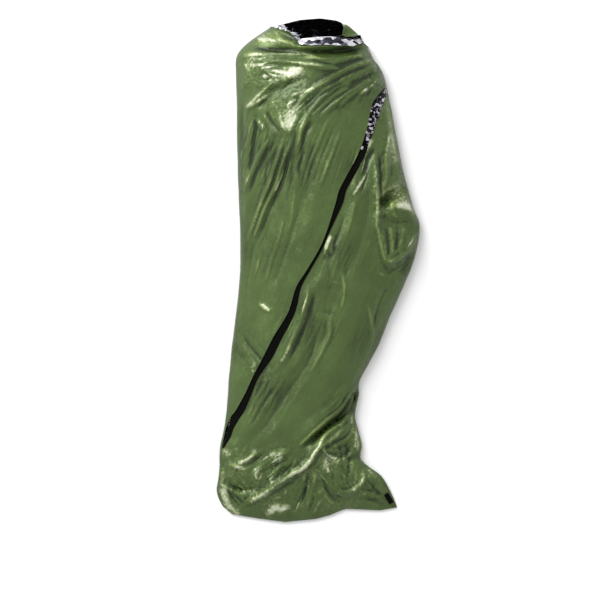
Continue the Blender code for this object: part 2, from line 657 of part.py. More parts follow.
def tape_object(rows):
    """The closure tape, on the under layer's edge from below the mouth to the slit's end."""
    top, bottom, places = [], [], []
    for row in rows:
        if row.open and set(row.tape) <= set(row.under):
            bottom.append([row.under_point(d, lift=SEAT_GAP) for d in row.tape])
            top.append([row.under_point(d, lift=SEAT_GAP + TAPE_THICKNESS) for d in row.tape])
            places.append(row.tape)
    return make_object("closure_tape", *slab(top, bottom, places))


def tab_object(film):
    """The tape's loose end, on the front of the foot's right corner."""
    tree = BVHTree.FromObject(film, bpy.context.evaluated_depsgraph_get())
    across = Vector((TAB_ALONG.y, -TAB_ALONG.x))
    top, bottom, places = [], [], []
    for i in range(TAB_GRID):
        line = []
        for j in range(TAB_GRID):
            place = TAB_START + TAB_ALONG * TAB_LENGTH * i / (TAB_GRID - 1)
            place += across * TAB_WIDTH * (j / (TAB_GRID - 1) - 0.5)
            hit, _, _, _ = tree.ray_cast(Vector((place.x, place.y, TAB_PROBE)), Vector((0, 0, -1)))
            line.append(hit)
        bottom.append([hit + Vector((0, 0, TAB_GAP)) for hit in line])
        top.append([hit + Vector((0, 0, TAB_GAP + TAB_THICKNESS)) for hit in line])
        places.append(list(range(TAB_GRID)))
    return make_object("foot_tab", *slab(top, bottom, places))


def material(name, colour, roughness, metallic):
    """A Principled material in an sRGB hex colour."""
    result = bpy.data.materials.new(name)
    result.use_nodes = True
    shader = result.node_tree.nodes["Principled BSDF"]
    channels = [int(colour[i:i + 2], 16) / 255 for i in (0, 2, 4)]
    linear = [c / 12.92 if c <= 0.04045 else ((c + 0.055) / 1.055) ** 2.4 for c in channels]
    shader.inputs["Base Color"].default_value = (*linear, 1.0)
    shader.inputs["Roughness"].default_value = roughness
    shader.inputs["Metallic"].default_value = metallic
    return result


def centre_on_floor(film, others):
    """Move everything so that the origin lies on the floor under the middle of the bag."""
    corners = [Vector(corner) for corner in film.bound_box]
    low = Vector(min(c[i] for c in corners) for i in range(3))
    high = Vector(max(c[i] for c in corners) for i in range(3))
    shift = Vector((-(low.x + high.x) / 2, -(low.y + high.y) / 2, -low.z))
    for thing in (film, *others):
        thing.location = shift


def main():
    for thing in list(bpy.data.objects):
        bpy.data.objects.remove(thing, do_unlink=True)
    rows = [Row(v) for v in row_positions()]
    film = film_object(rows)
    tape = tape_object(rows)
    tab = tab_object(film)
    centre_on_floor(film, (tape, tab))
    film_material = material("olive metallised film", FILM_COLOUR, FILM_ROUGHNESS, FILM_METALLIC)
    film.data.materials.append(film_material)
    tape_material = material("black hook-and-loop tape", TAPE_COLOUR, TAPE_ROUGHNESS, 0.0)
    tape.data.materials.append(tape_material)
    tab.data.materials.append(tape_material)


main()
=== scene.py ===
"""Emergency sleeping bag of thin metallised film, laid out on its back: the fine surface over its solids.

The film is one sheet wound into a flat-bottomed tube, welded at the foot (-Y) and open at the mouth (+Y).
Its free edge, the flap, crosses the front and laps over a black hook-and-loop tape. The film is olive green
outside and bare aluminium inside. The fine film is rebuilt here from the bag's own sections and folds, with
creases, a rolled mouth and a turned-out hem added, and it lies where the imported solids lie.
"""

import math
from collections import namedtuple

import bpy
import numpy as np
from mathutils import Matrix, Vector, noise


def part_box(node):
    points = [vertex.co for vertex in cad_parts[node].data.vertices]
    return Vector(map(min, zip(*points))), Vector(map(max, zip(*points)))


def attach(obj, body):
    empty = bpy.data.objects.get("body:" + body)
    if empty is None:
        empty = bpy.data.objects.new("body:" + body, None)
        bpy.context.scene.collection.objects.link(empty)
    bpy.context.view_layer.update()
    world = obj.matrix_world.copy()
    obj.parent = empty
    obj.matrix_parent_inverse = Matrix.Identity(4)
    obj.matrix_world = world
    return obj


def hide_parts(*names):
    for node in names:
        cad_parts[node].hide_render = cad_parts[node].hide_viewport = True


bl_info = {
    "name": "Emergency Sleeping Bag",
    "version": (1, 0, 0),
    "blender": (4, 5, 0),
    "location": "3D View > Sidebar > Sleeping Bag",
    "description": "Builds a film sleeping bag with its closure tape, on a plain studio floor",
    "category": "Object",
}

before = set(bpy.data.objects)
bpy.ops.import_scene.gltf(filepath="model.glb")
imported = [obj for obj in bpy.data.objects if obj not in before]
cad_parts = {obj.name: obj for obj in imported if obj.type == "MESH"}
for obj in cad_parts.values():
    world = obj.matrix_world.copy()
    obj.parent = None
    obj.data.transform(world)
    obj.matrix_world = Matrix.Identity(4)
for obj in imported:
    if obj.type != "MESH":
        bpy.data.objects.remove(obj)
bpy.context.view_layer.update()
FILM_LOW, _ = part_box("bag_film")

Section = namedtuple("Section", "left right crown")
SlitPoint = namedtuple("SlitPoint", "x y tape_shows")
Edge = namedtuple("Edge", "x reach")
Roll = namedtuple("Roll", "x length bend turn aim")
Fold = namedtuple("Fold", "height left_width right_width route")
HemRow = namedtuple("HemRow", "y width")
Wrinkles = namedtuple("Wrinkles", "centre radius turn height spacing stretch")

# Sections from the foot to the mouth, as in the solids: left end, right end and height of the crown
SECTIONS = (
    Section((-0.312, -0.770), (0.255, -0.774), 0.009), Section((-0.325, -0.744), (0.247, -0.752), 0.026),
    Section((-0.330, -0.717), (0.232, -0.718), 0.044), Section((-0.325, -0.681), (0.203, -0.671), 0.062),
    Section((-0.322, -0.645), (0.161, -0.640), 0.072), Section((-0.322, -0.609), (0.136, -0.613), 0.078),
    Section((-0.318, -0.570), (0.141, -0.570), 0.083), Section((-0.307, -0.522), (0.130, -0.522), 0.088),
    Section((-0.299, -0.466), (0.119, -0.473), 0.091), Section((-0.294, -0.398), (0.130, -0.408), 0.096),
    Section((-0.291, -0.343), (0.135, -0.359), 0.100), Section((-0.281, -0.252), (0.193, -0.249), 0.109),
    Section((-0.268, -0.145), (0.239, -0.138), 0.118), Section((-0.257, -0.044), (0.281, -0.044), 0.126),
    Section((-0.254, 0.047), (0.314, 0.047), 0.131), Section((-0.255, 0.135), (0.328, 0.141), 0.134),
    Section((-0.258, 0.210), (0.306, 0.206), 0.136), Section((-0.262, 0.340), (0.271, 0.336), 0.141),
    Section((-0.265, 0.453), (0.249, 0.453), 0.145), Section((-0.266, 0.567), (0.229, 0.561), 0.144),
    Section((-0.268, 0.642), (0.206, 0.642), 0.137), Section((-0.265, 0.694), (0.179, 0.681), 0.126),
    Section((-0.229, 0.736), (0.171, 0.700), 0.112), Section((-0.158, 0.785), (0.164, 0.717), 0.100),
)

# The flap's edge from the mouth to the foot: x, y, and how much of the tape shows beside it
SLIT = (
    SlitPoint(0.226, 0.603, 0.002), SlitPoint(0.177, 0.541, 0.008), SlitPoint(0.164, 0.492, 0.008),
    SlitPoint(0.154, 0.447, 0.012), SlitPoint(0.135, 0.388, 0.024), SlitPoint(0.112, 0.340, 0.026),
    SlitPoint(0.068, 0.258, 0.024), SlitPoint(0.054, 0.210, 0.024), SlitPoint(0.024, 0.115, 0.010),
    SlitPoint(-0.002, 0.057, 0.010), SlitPoint(-0.041, -0.008, 0.012), SlitPoint(-0.073, -0.060, 0.016),
    SlitPoint(-0.099, -0.141, 0.022), SlitPoint(-0.146, -0.219, 0.029), SlitPoint(-0.180, -0.286, 0.029),
    SlitPoint(-0.213, -0.349, 0.018), SlitPoint(-0.239, -0.405, 0.020), SlitPoint(-0.268, -0.457, 0.026),
    SlitPoint(-0.286, -0.482, 0.027), SlitPoint(-0.301, -0.518, 0.021), SlitPoint(-0.311, -0.547, 0.018),
    SlitPoint(-0.316, -0.580, 0.008),
)

# At each x, how far the ends reach past the straight line across the outermost sections
FOOT_EDGE = (
    Edge(-0.312, 0.0), Edge(-0.281, 0.026), Edge(-0.190, 0.040), Edge(-0.109, 0.050), Edge(-0.011, 0.040),
    Edge(0.037, 0.027), Edge(0.086, 0.006), Edge(0.200, 0.010), Edge(0.255, 0.0),
)
MOUTH_FRONT = (
    Edge(-0.158, 0.0), Edge(-0.109, -0.013), Edge(-0.060, -0.028), Edge(-0.011, -0.011), Edge(0.037, 0.001),
    Edge(0.096, 0.008), Edge(0.132, 0.006), Edge(0.164, 0.0),
)
MOUTH_BACK = (
    Edge(-0.158, 0.0), Edge(-0.112, 0.018), Edge(-0.060, 0.040), Edge(0.005, 0.056), Edge(0.057, 0.060),
    Edge(0.096, 0.050), Edge(0.132, 0.024), Edge(0.164, 0.0),
)

# The rim past the mouth: a cuff turned out at the front, a collar curled forward at the back's right.
# At each x, its length, the length of its bend, and its turn and aim in degrees
FRONT_ROLL = (
    Roll(-0.158, 0.003, 0.003, 0, 0), Roll(-0.110, 0.010, 0.009, 40, 0), Roll(-0.066, 0.030, 0.012, 160, 0),
    Roll(-0.020, 0.040, 0.012, 170, 0), Roll(0.060, 0.041, 0.012, 170, 0),
    Roll(0.110, 0.036, 0.012, 166, 0), Roll(0.138, 0.020, 0.010, 120, 0), Roll(0.152, 0.006, 0.006, 10, 0),
    Roll(0.164, 0.005, 0.005, 0, 0),
)
BACK_ROLL = (
    Roll(-0.158, 0.003, 0.003, 0, 0), Roll(0.010, 0.010, 0.009, 5, 0), Roll(0.074, 0.010, 0.010, 20, 20),
    Roll(0.088, 0.066, 0.026, 160, 40), Roll(0.112, 0.050, 0.024, 155, 40),
    Roll(0.130, 0.022, 0.014, 70, 30), Roll(0.142, 0.006, 0.006, 5, 0), Roll(0.164, 0.005, 0.005, 0, 0),
)

# Main folds of the front: height, width to each side of the line, and the line. A trough's height is
# negative
FOLDS = (
    # yoke and chest
    Fold(-0.024, 0.010, 0.011, ((-0.225, 0.712), (-0.119, 0.704), (-0.030, 0.698), (0.060, 0.702),
         (0.160, 0.716))),
    Fold(0.009, 0.017, 0.020, ((-0.215, 0.694), (-0.110, 0.684), (-0.030, 0.678), (0.080, 0.650))),
    Fold(-0.004, 0.018, 0.018, ((-0.235, 0.610), (-0.150, 0.606), (-0.050, 0.618), (0.060, 0.602))),
    Fold(0.010, 0.015, 0.020, ((-0.247, 0.518), (-0.185, 0.555), (-0.125, 0.600), (-0.060, 0.606))),
    Fold(-0.011, 0.015, 0.016, ((-0.205, 0.505), (-0.158, 0.556), (-0.095, 0.585), (-0.020, 0.618))),
    Fold(0.008, 0.030, 0.026, ((-0.150, 0.575), (-0.095, 0.520), (-0.100, 0.430))),
    # creases from the right shoulder
    Fold(0.009, 0.009, 0.010, ((0.186, 0.672), (0.102, 0.629), (0.030, 0.588), (-0.060, 0.540))),
    Fold(-0.009, 0.008, 0.009, ((0.192, 0.648), (0.100, 0.600), (0.010, 0.556), (-0.045, 0.500))),
    Fold(0.009, 0.009, 0.010, ((0.190, 0.622), (0.110, 0.575), (0.030, 0.520), (-0.035, 0.470))),
    # long folds down the left front
    Fold(0.010, 0.012, 0.010, ((-0.020, 0.505), (-0.055, 0.440), (-0.068, 0.340), (-0.080, 0.220),
         (-0.105, 0.090))),
    Fold(-0.007, 0.013, 0.012, ((-0.010, 0.440), (-0.028, 0.340), (-0.042, 0.230), (-0.075, 0.080))),
    Fold(0.010, 0.009, 0.009, ((-0.108, 0.420), (-0.140, 0.300), (-0.184, 0.195), (-0.228, 0.055))),
    Fold(-0.009, 0.009, 0.009, ((-0.080, 0.400), (-0.112, 0.290), (-0.150, 0.180), (-0.205, 0.030))),
    Fold(0.008, 0.009, 0.010, ((-0.164, 0.430), (-0.208, 0.330), (-0.238, 0.235))),
    Fold(-0.007, 0.010, 0.010, ((-0.190, 0.480), (-0.214, 0.400), (-0.236, 0.300))),
    Fold(0.007, 0.020, 0.020, ((0.060, 0.430), (0.020, 0.320), (-0.020, 0.190), (-0.060, 0.060))),
    Fold(-0.005, 0.018, 0.018, ((-0.262, -0.184), (-0.215, -0.250), (-0.176, -0.296))),
    # right panel beside the tape
    Fold(-0.011, 0.016, 0.018, ((0.160, 0.262), (0.150, 0.154), (0.130, 0.080), (0.094, 0.010),
         (0.056, -0.060))),
    Fold(0.011, 0.013, 0.017, ((0.182, 0.390), (0.187, 0.288), (0.190, 0.187), (0.180, 0.110))),
    Fold(0.009, 0.013, 0.015, ((0.232, 0.460), (0.220, 0.372), (0.216, 0.290))),
    Fold(-0.026, 0.011, 0.012, ((0.292, 0.254), (0.235, 0.236), (0.196, 0.200))),
    Fold(0.016, 0.018, 0.022, ((0.225, 0.196), (0.270, 0.200), (0.322, 0.178))),
    Fold(-0.007, 0.012, 0.026, ((0.194, 0.172), (0.240, 0.150), (0.318, 0.146))),
    Fold(0.012, 0.014, 0.015, ((0.210, 0.012), (0.262, 0.048), (0.318, 0.122))),
    Fold(-0.011, 0.015, 0.015, ((0.206, -0.022), (0.262, 0.006), (0.306, 0.056))),
    Fold(0.010, 0.012, 0.013, ((-0.028, -0.045), (-0.048, -0.140), (-0.080, -0.225), (-0.150, -0.325))),
    Fold(-0.010, 0.013, 0.014, ((-0.002, -0.050), (-0.020, -0.150), (-0.052, -0.232), (-0.120, -0.336))),
    Fold(-0.010, 0.024, 0.026, ((0.052, -0.040), (0.046, -0.100), (0.030, -0.160))),
    Fold(0.016, 0.045, 0.048, ((0.180, -0.020), (0.130, -0.150), (0.070, -0.290), (-0.010, -0.420))),
    Fold(-0.013, 0.017, 0.018, ((0.012, -0.165), (-0.030, -0.290), (-0.100, -0.395), (-0.165, -0.495),
         (-0.240, -0.585))),
    # the long lap above the foot
    Fold(0.012, 0.018, 0.016, ((0.122, -0.350), (0.092, -0.392), (0.056, -0.446), (-0.010, -0.500),
         (-0.080, -0.568))),
    Fold(-0.022, 0.008, 0.009, ((0.140, -0.376), (0.112, -0.424), (0.072, -0.478), (0.004, -0.532),
         (-0.060, -0.588))),
    # foot
    Fold(0.015, 0.010, 0.011, ((0.046, -0.500), (-0.011, -0.590), (-0.050, -0.642), (-0.164, -0.716),
         (-0.250, -0.764))),
    Fold(0.007, 0.011, 0.011, ((-0.008, -0.588), (0.050, -0.546), (0.104, -0.500))),
    Fold(-0.014, 0.016, 0.016, ((0.010, -0.622), (0.062, -0.592), (0.122, -0.566))),
    Fold(0.008, 0.018, 0.012, ((-0.080, -0.585), (-0.140, -0.604), (-0.200, -0.656), (-0.190, -0.706))),
    Fold(0.009, 0.012, 0.013, ((-0.196, -0.590), (-0.236, -0.618), (-0.290, -0.634))),
    Fold(-0.011, 0.013, 0.014, ((-0.318, -0.676), (-0.278, -0.706), (-0.230, -0.714), (-0.170, -0.712))),
    Fold(-0.009, 0.013, 0.013, ((-0.030, -0.650), (-0.042, -0.708), (-0.070, -0.770))),
    Fold(-0.009, 0.013, 0.013, ((0.010, -0.660), (0.026, -0.710), (0.070, -0.752))),
    Fold(0.011, 0.014, 0.014, ((0.040, -0.700), (0.088, -0.722), (0.130, -0.702), (0.150, -0.655))),
)

# Fine creases of the front, sharp along their line
CREASES = (
    # chest
    Fold(0.005, 0.007, 0.007, ((-0.262, 0.691), (-0.158, 0.697), (-0.054, 0.694), (0.060, 0.658))),
    Fold(-0.004, 0.005, 0.005, ((-0.242, 0.684), (-0.122, 0.681), (-0.028, 0.674), (0.076, 0.648))),
    Fold(0.004, 0.006, 0.006, ((-0.223, 0.678), (-0.122, 0.671), (0.005, 0.652), (0.086, 0.642))),
    Fold(0.006, 0.007, 0.006, ((-0.151, 0.782), (-0.125, 0.752), (-0.099, 0.730), (-0.067, 0.723))),
    Fold(0.006, 0.012, 0.010, ((-0.216, 0.743), (-0.164, 0.749), (-0.112, 0.730))),
    Fold(-0.005, 0.006, 0.006, ((-0.184, 0.769), (-0.158, 0.746), (-0.125, 0.720))),
    Fold(0.006, 0.005, 0.006, ((-0.141, 0.609), (-0.190, 0.564), (-0.239, 0.518))),
    Fold(0.006, 0.006, 0.005, ((-0.093, 0.603), (-0.158, 0.561), (-0.200, 0.538), (-0.239, 0.515))),
    Fold(-0.008, 0.006, 0.007, ((-0.041, 0.619), (-0.102, 0.593), (-0.158, 0.561), (-0.197, 0.515))),
    Fold(0.005, 0.018, 0.020, ((-0.076, 0.583), (-0.089, 0.525), (-0.106, 0.473), (-0.112, 0.421))),
    Fold(0.004, 0.004, 0.005, ((-0.031, 0.570), (-0.054, 0.538), (-0.080, 0.505))),
    Fold(-0.004, 0.004, 0.004, ((-0.060, 0.577), (-0.070, 0.538), (-0.089, 0.509))),
    Fold(0.004, 0.004, 0.005, ((-0.054, 0.505), (-0.073, 0.473), (-0.102, 0.427))),
    Fold(0.004, 0.005, 0.005, ((-0.203, 0.492), (-0.190, 0.466), (-0.171, 0.440))),
    Fold(-0.005, 0.005, 0.005, ((-0.171, 0.512), (-0.151, 0.473), (-0.125, 0.440))),
    Fold(0.007, 0.016, 0.012, ((-0.216, 0.661), (-0.158, 0.635), (-0.093, 0.622), (-0.047, 0.622))),
    Fold(-0.003, 0.004, 0.004, ((-0.184, 0.655), (-0.151, 0.642), (-0.112, 0.645), (-0.067, 0.639))),
    Fold(0.003, 0.004, 0.004, ((-0.171, 0.668), (-0.184, 0.642), (-0.197, 0.616))),
    Fold(0.005, 0.006, 0.007, ((-0.255, 0.674), (-0.232, 0.635), (-0.245, 0.577))),
    Fold(-0.005, 0.006, 0.006, ((-0.249, 0.557), (-0.245, 0.486), (-0.255, 0.388))),
    # shoulder
    Fold(0.005, 0.005, 0.006, ((0.180, 0.681), (0.086, 0.642), (-0.002, 0.590), (-0.070, 0.525))),
    Fold(-0.005, 0.005, 0.005, ((0.184, 0.668), (0.089, 0.626), (0.005, 0.574), (-0.063, 0.499))),
    Fold(0.005, 0.005, 0.005, ((0.187, 0.652), (0.093, 0.603), (0.011, 0.551), (-0.047, 0.479))),
    Fold(-0.004, 0.005, 0.005, ((0.190, 0.639), (0.109, 0.587), (0.037, 0.531), (-0.024, 0.473))),
    Fold(0.004, 0.005, 0.005, ((0.190, 0.622), (0.115, 0.564), (0.057, 0.518))),
    Fold(0.004, 0.005, 0.005, ((0.164, 0.700), (0.096, 0.678), (0.037, 0.661))),
    Fold(-0.004, 0.004, 0.005, ((0.174, 0.687), (0.109, 0.665), (0.063, 0.642))),
    Fold(0.005, 0.005, 0.005, ((0.200, 0.616), (0.171, 0.590), (0.128, 0.561))),
    Fold(0.003, 0.004, 0.004, ((0.070, 0.691), (0.122, 0.687), (0.167, 0.674))),
    Fold(-0.003, 0.004, 0.004, ((0.154, 0.648), (0.171, 0.603), (0.154, 0.551))),
    # left front
    Fold(0.007, 0.008, 0.007, ((-0.028, 0.499), (-0.054, 0.460), (-0.063, 0.414), (-0.073, 0.356))),
    Fold(-0.006, 0.007, 0.008, ((-0.015, 0.479), (-0.044, 0.434), (-0.057, 0.362), (-0.067, 0.284))),
    Fold(0.006, 0.005, 0.006, ((-0.119, 0.411), (-0.154, 0.301), (-0.187, 0.206), (-0.239, 0.063))),
    Fold(-0.006, 0.004, 0.004, ((-0.109, 0.401), (-0.141, 0.294), (-0.184, 0.197), (-0.226, 0.076))),
    Fold(0.006, 0.005, 0.005, ((-0.099, 0.411), (-0.128, 0.301), (-0.174, 0.193), (-0.213, 0.096))),
    Fold(-0.005, 0.005, 0.005, ((-0.086, 0.401), (-0.112, 0.297), (-0.158, 0.187), (-0.200, 0.083))),
    Fold(0.005, 0.007, 0.006, ((-0.216, 0.512), (-0.226, 0.395), (-0.242, 0.268))),
    Fold(-0.005, 0.006, 0.006, ((-0.200, 0.505), (-0.210, 0.401), (-0.229, 0.291))),
    Fold(0.004, 0.005, 0.005, ((-0.158, 0.421), (-0.210, 0.333), (-0.242, 0.239))),
    Fold(-0.004, 0.005, 0.005, ((-0.141, 0.414), (-0.193, 0.327), (-0.232, 0.226))),
    Fold(0.0025, 0.004, 0.004, ((0.037, 0.492), (-0.011, 0.382), (-0.054, 0.268))),
    Fold(0.0025, 0.004, 0.004, ((0.076, 0.460), (0.037, 0.356), (-0.002, 0.252))),
    Fold(-0.002, 0.004, 0.004, ((0.057, 0.473), (0.011, 0.362), (-0.024, 0.265))),
    Fold(0.003, 0.005, 0.005, ((-0.197, -0.109), (-0.177, -0.125), (-0.151, -0.138))),
    Fold(-0.002, 0.005, 0.006, ((-0.268, -0.177), (-0.236, -0.229), (-0.203, -0.271),
         (-0.171, -0.304))),
    Fold(0.002, 0.005, 0.005, ((-0.281, -0.197), (-0.249, -0.249), (-0.216, -0.288))),
    Fold(0.003, 0.006, 0.006, ((-0.232, 0.258), (-0.242, 0.128), (-0.245, -0.002))),
    Fold(-0.003, 0.006, 0.006, ((-0.210, 0.096), (-0.229, -0.034), (-0.236, -0.164))),
    Fold(0.003, 0.005, 0.005, ((-0.109, 0.177), (-0.141, 0.063), (-0.184, -0.067))),
    Fold(-0.003, 0.006, 0.006, ((-0.060, 0.210), (-0.099, 0.080), (-0.151, -0.067))),
    # right panel
    Fold(0.006, 0.007, 0.008, ((0.177, 0.427), (0.145, 0.362), (0.125, 0.297), (0.102, 0.232))),
    Fold(-0.005, 0.005, 0.006, ((0.190, 0.401), (0.164, 0.349), (0.148, 0.284), (0.128, 0.226))),
    Fold(0.006, 0.005, 0.004, ((0.184, 0.382), (0.187, 0.288), (0.190, 0.187), (0.184, 0.122))),
    Fold(-0.006, 0.004, 0.005, ((0.197, 0.369), (0.200, 0.278), (0.203, 0.206))),
    Fold(0.005, 0.005, 0.005, ((0.236, 0.460), (0.223, 0.382), (0.216, 0.297), (0.210, 0.258))),
    Fold(-0.004, 0.005, 0.005, ((0.249, 0.427), (0.239, 0.356), (0.232, 0.278))),
    Fold(-0.008, 0.008, 0.008, ((0.258, 0.271), (0.219, 0.236), (0.203, 0.200), (0.232, 0.203))),
    Fold(0.007, 0.007, 0.008, ((0.239, 0.200), (0.271, 0.206), (0.301, 0.200), (0.327, 0.174))),
    Fold(-0.005, 0.008, 0.014, ((0.200, 0.190), (0.222, 0.164), (0.262, 0.150), (0.302, 0.162))),
    Fold(0.007, 0.005, 0.005, ((0.223, 0.018), (0.271, 0.044), (0.304, 0.083), (0.327, 0.132))),
    Fold(0.005, 0.004, 0.005, ((0.190, 0.141), (0.203, 0.083), (0.219, 0.021))),
    Fold(-0.003, 0.005, 0.005, ((0.216, 0.140), (0.222, 0.095), (0.230, 0.040))),
    Fold(0.003, 0.005, 0.005, ((0.234, 0.142), (0.236, 0.095), (0.238, 0.045))),
    Fold(-0.003, 0.005, 0.005, ((0.254, 0.142), (0.252, 0.100), (0.248, 0.055))),
    Fold(0.003, 0.005, 0.005, ((0.276, 0.140), (0.270, 0.105), (0.260, 0.065))),
    Fold(-0.003, 0.005, 0.005, ((0.298, 0.138), (0.288, 0.108), (0.274, 0.074))),
    Fold(0.004, 0.005, 0.006, ((0.031, 0.093), (0.024, 0.067), (0.021, 0.037))),
    Fold(0.005, 0.005, 0.005, ((0.047, 0.109), (0.041, 0.076), (0.037, 0.044))),
    Fold(0.005, 0.005, 0.005, ((-0.028, -0.060), (-0.054, -0.151), (-0.073, -0.206), (-0.112, -0.284))),
    Fold(-0.005, 0.005, 0.005, ((-0.011, -0.067), (-0.034, -0.158), (-0.060, -0.223),
         (-0.099, -0.294))),
    Fold(0.004, 0.006, 0.007, ((0.041, -0.145), (0.028, -0.223), (-0.002, -0.288), (-0.044, -0.353))),
    Fold(-0.0015, 0.007, 0.007, ((0.028, 0.024), (0.037, -0.054), (0.024, -0.112))),
    Fold(0.003, 0.005, 0.005, ((0.073, -0.002), (0.083, -0.067), (0.070, -0.138))),
    Fold(0.003, 0.006, 0.006, ((0.119, 0.226), (0.102, 0.154), (0.080, 0.083))),
    Fold(-0.003, 0.006, 0.006, ((0.083, 0.180), (0.067, 0.122), (0.037, 0.057))),
    Fold(0.003, 0.005, 0.005, ((-0.164, -0.353), (-0.203, -0.418), (-0.242, -0.489))),
    Fold(-0.003, 0.005, 0.005, ((-0.138, -0.372), (-0.184, -0.444), (-0.229, -0.522))),
    Fold(0.003, 0.005, 0.005, ((0.154, -0.099), (0.174, -0.197), (0.154, -0.301))),
    Fold(-0.004, 0.006, 0.006, ((0.226, -0.054), (0.200, -0.099), (0.174, -0.197))),
    # lap above the foot
    Fold(0.006, 0.006, 0.004, ((0.138, -0.353), (0.109, -0.395), (0.076, -0.447), (0.011, -0.502),
         (-0.041, -0.551), (-0.073, -0.580))),
    Fold(-0.007, 0.004, 0.005, ((0.145, -0.369), (0.115, -0.411), (0.083, -0.463),
         (0.021, -0.518), (-0.034, -0.567))),
    Fold(0.004, 0.005, 0.005, ((0.135, -0.398), (0.115, -0.450), (0.089, -0.502))),
    Fold(0.005, 0.004, 0.004, ((0.112, -0.463), (0.086, -0.489), (0.070, -0.515))),
    Fold(-0.004, 0.004, 0.004, ((0.125, -0.457), (0.109, -0.496), (0.099, -0.535))),
    Fold(0.005, 0.004, 0.004, ((0.132, -0.463), (0.128, -0.502), (0.135, -0.548))),
    # foot
    Fold(0.007, 0.006, 0.007, ((0.037, -0.518), (-0.008, -0.587), (-0.031, -0.632),
         (-0.096, -0.671), (-0.164, -0.717), (-0.210, -0.746), (-0.262, -0.772))),
    Fold(0.005, 0.005, 0.005, ((-0.011, -0.590), (0.021, -0.564), (0.057, -0.541), (0.099, -0.499))),
    Fold(-0.006, 0.005, 0.005, ((0.005, -0.593), (0.050, -0.564), (0.089, -0.541), (0.122, -0.502))),
    Fold(0.004, 0.004, 0.004, ((0.011, -0.577), (0.063, -0.590), (0.112, -0.564))),
    Fold(-0.005, 0.004, 0.004, ((0.021, -0.603), (0.063, -0.609), (0.109, -0.587))),
    Fold(-0.006, 0.006, 0.006, ((0.148, -0.593), (0.122, -0.609), (0.089, -0.619))),
    Fold(0.005, 0.005, 0.005, ((-0.190, -0.587), (-0.229, -0.613), (-0.265, -0.632))),
    Fold(-0.004, 0.004, 0.004, ((-0.171, -0.593), (-0.210, -0.622), (-0.255, -0.648))),
    Fold(0.005, 0.005, 0.005, ((-0.301, -0.632), (-0.268, -0.639), (-0.229, -0.648))),
    Fold(0.004, 0.008, 0.009, ((-0.073, -0.583), (-0.125, -0.600), (-0.164, -0.629),
         (-0.200, -0.661), (-0.193, -0.710))),
    Fold(-0.004, 0.004, 0.004, ((-0.099, -0.613), (-0.135, -0.632), (-0.161, -0.658))),
    Fold(0.004, 0.004, 0.004, ((-0.112, -0.626), (-0.138, -0.658), (-0.158, -0.697))),
    Fold(-0.004, 0.004, 0.004, ((-0.089, -0.626), (-0.112, -0.658), (-0.128, -0.691))),
    Fold(0.004, 0.004, 0.004, ((-0.070, -0.613), (-0.083, -0.639), (-0.093, -0.665))),
    Fold(-0.007, 0.005, 0.005, ((-0.320, -0.678), (-0.278, -0.707), (-0.236, -0.717),
         (-0.177, -0.717))),
    Fold(0.006, 0.006, 0.006, ((-0.307, -0.707), (-0.268, -0.723), (-0.223, -0.736))),
    Fold(0.006, 0.007, 0.007, ((-0.310, -0.717), (-0.294, -0.762), (-0.255, -0.804))),
    Fold(-0.006, 0.004, 0.004, ((-0.297, -0.713), (-0.278, -0.746), (-0.249, -0.778))),
    Fold(0.005, 0.005, 0.005, ((-0.284, -0.710), (-0.252, -0.739), (-0.216, -0.759))),
    Fold(0.005, 0.006, 0.006, ((-0.171, -0.811), (-0.141, -0.782), (-0.115, -0.791), (-0.076, -0.765))),
    Fold(-0.005, 0.005, 0.005, ((-0.184, -0.788), (-0.151, -0.762), (-0.112, -0.749))),
    Fold(-0.007, 0.005, 0.006, ((-0.028, -0.648), (-0.037, -0.707), (-0.057, -0.749),
         (-0.089, -0.795))),
    Fold(0.006, 0.005, 0.005, ((-0.008, -0.652), (-0.018, -0.710), (-0.034, -0.756), (-0.050, -0.801))),
    Fold(-0.006, 0.005, 0.005, ((0.008, -0.661), (0.024, -0.707), (0.047, -0.746), (0.099, -0.765))),
    Fold(0.006, 0.006, 0.006, ((0.031, -0.710), (0.073, -0.726), (0.109, -0.720), (0.138, -0.697),
         (0.151, -0.652))),
    Fold(-0.006, 0.006, 0.006, ((0.022, -0.560), (0.042, -0.630), (0.046, -0.700))),
    Fold(0.004, 0.005, 0.005, ((0.050, -0.560), (0.066, -0.620), (0.072, -0.690))),
    Fold(-0.005, 0.006, 0.006, ((0.086, -0.560), (0.098, -0.620), (0.096, -0.680))),
    Fold(0.004, 0.006, 0.006, ((0.154, -0.652), (0.193, -0.704), (0.239, -0.756))),
    Fold(-0.003, 0.005, 0.005, ((0.109, -0.746), (0.167, -0.749), (0.219, -0.765))),
    Fold(0.003, 0.005, 0.005, ((0.119, -0.730), (0.167, -0.730), (0.213, -0.743))),
    Fold(0.004, 0.005, 0.005, ((-0.002, -0.743), (-0.015, -0.775), (-0.002, -0.801))),
    Fold(-0.004, 0.004, 0.004, ((0.024, -0.743), (0.024, -0.775), (0.044, -0.795))),
)

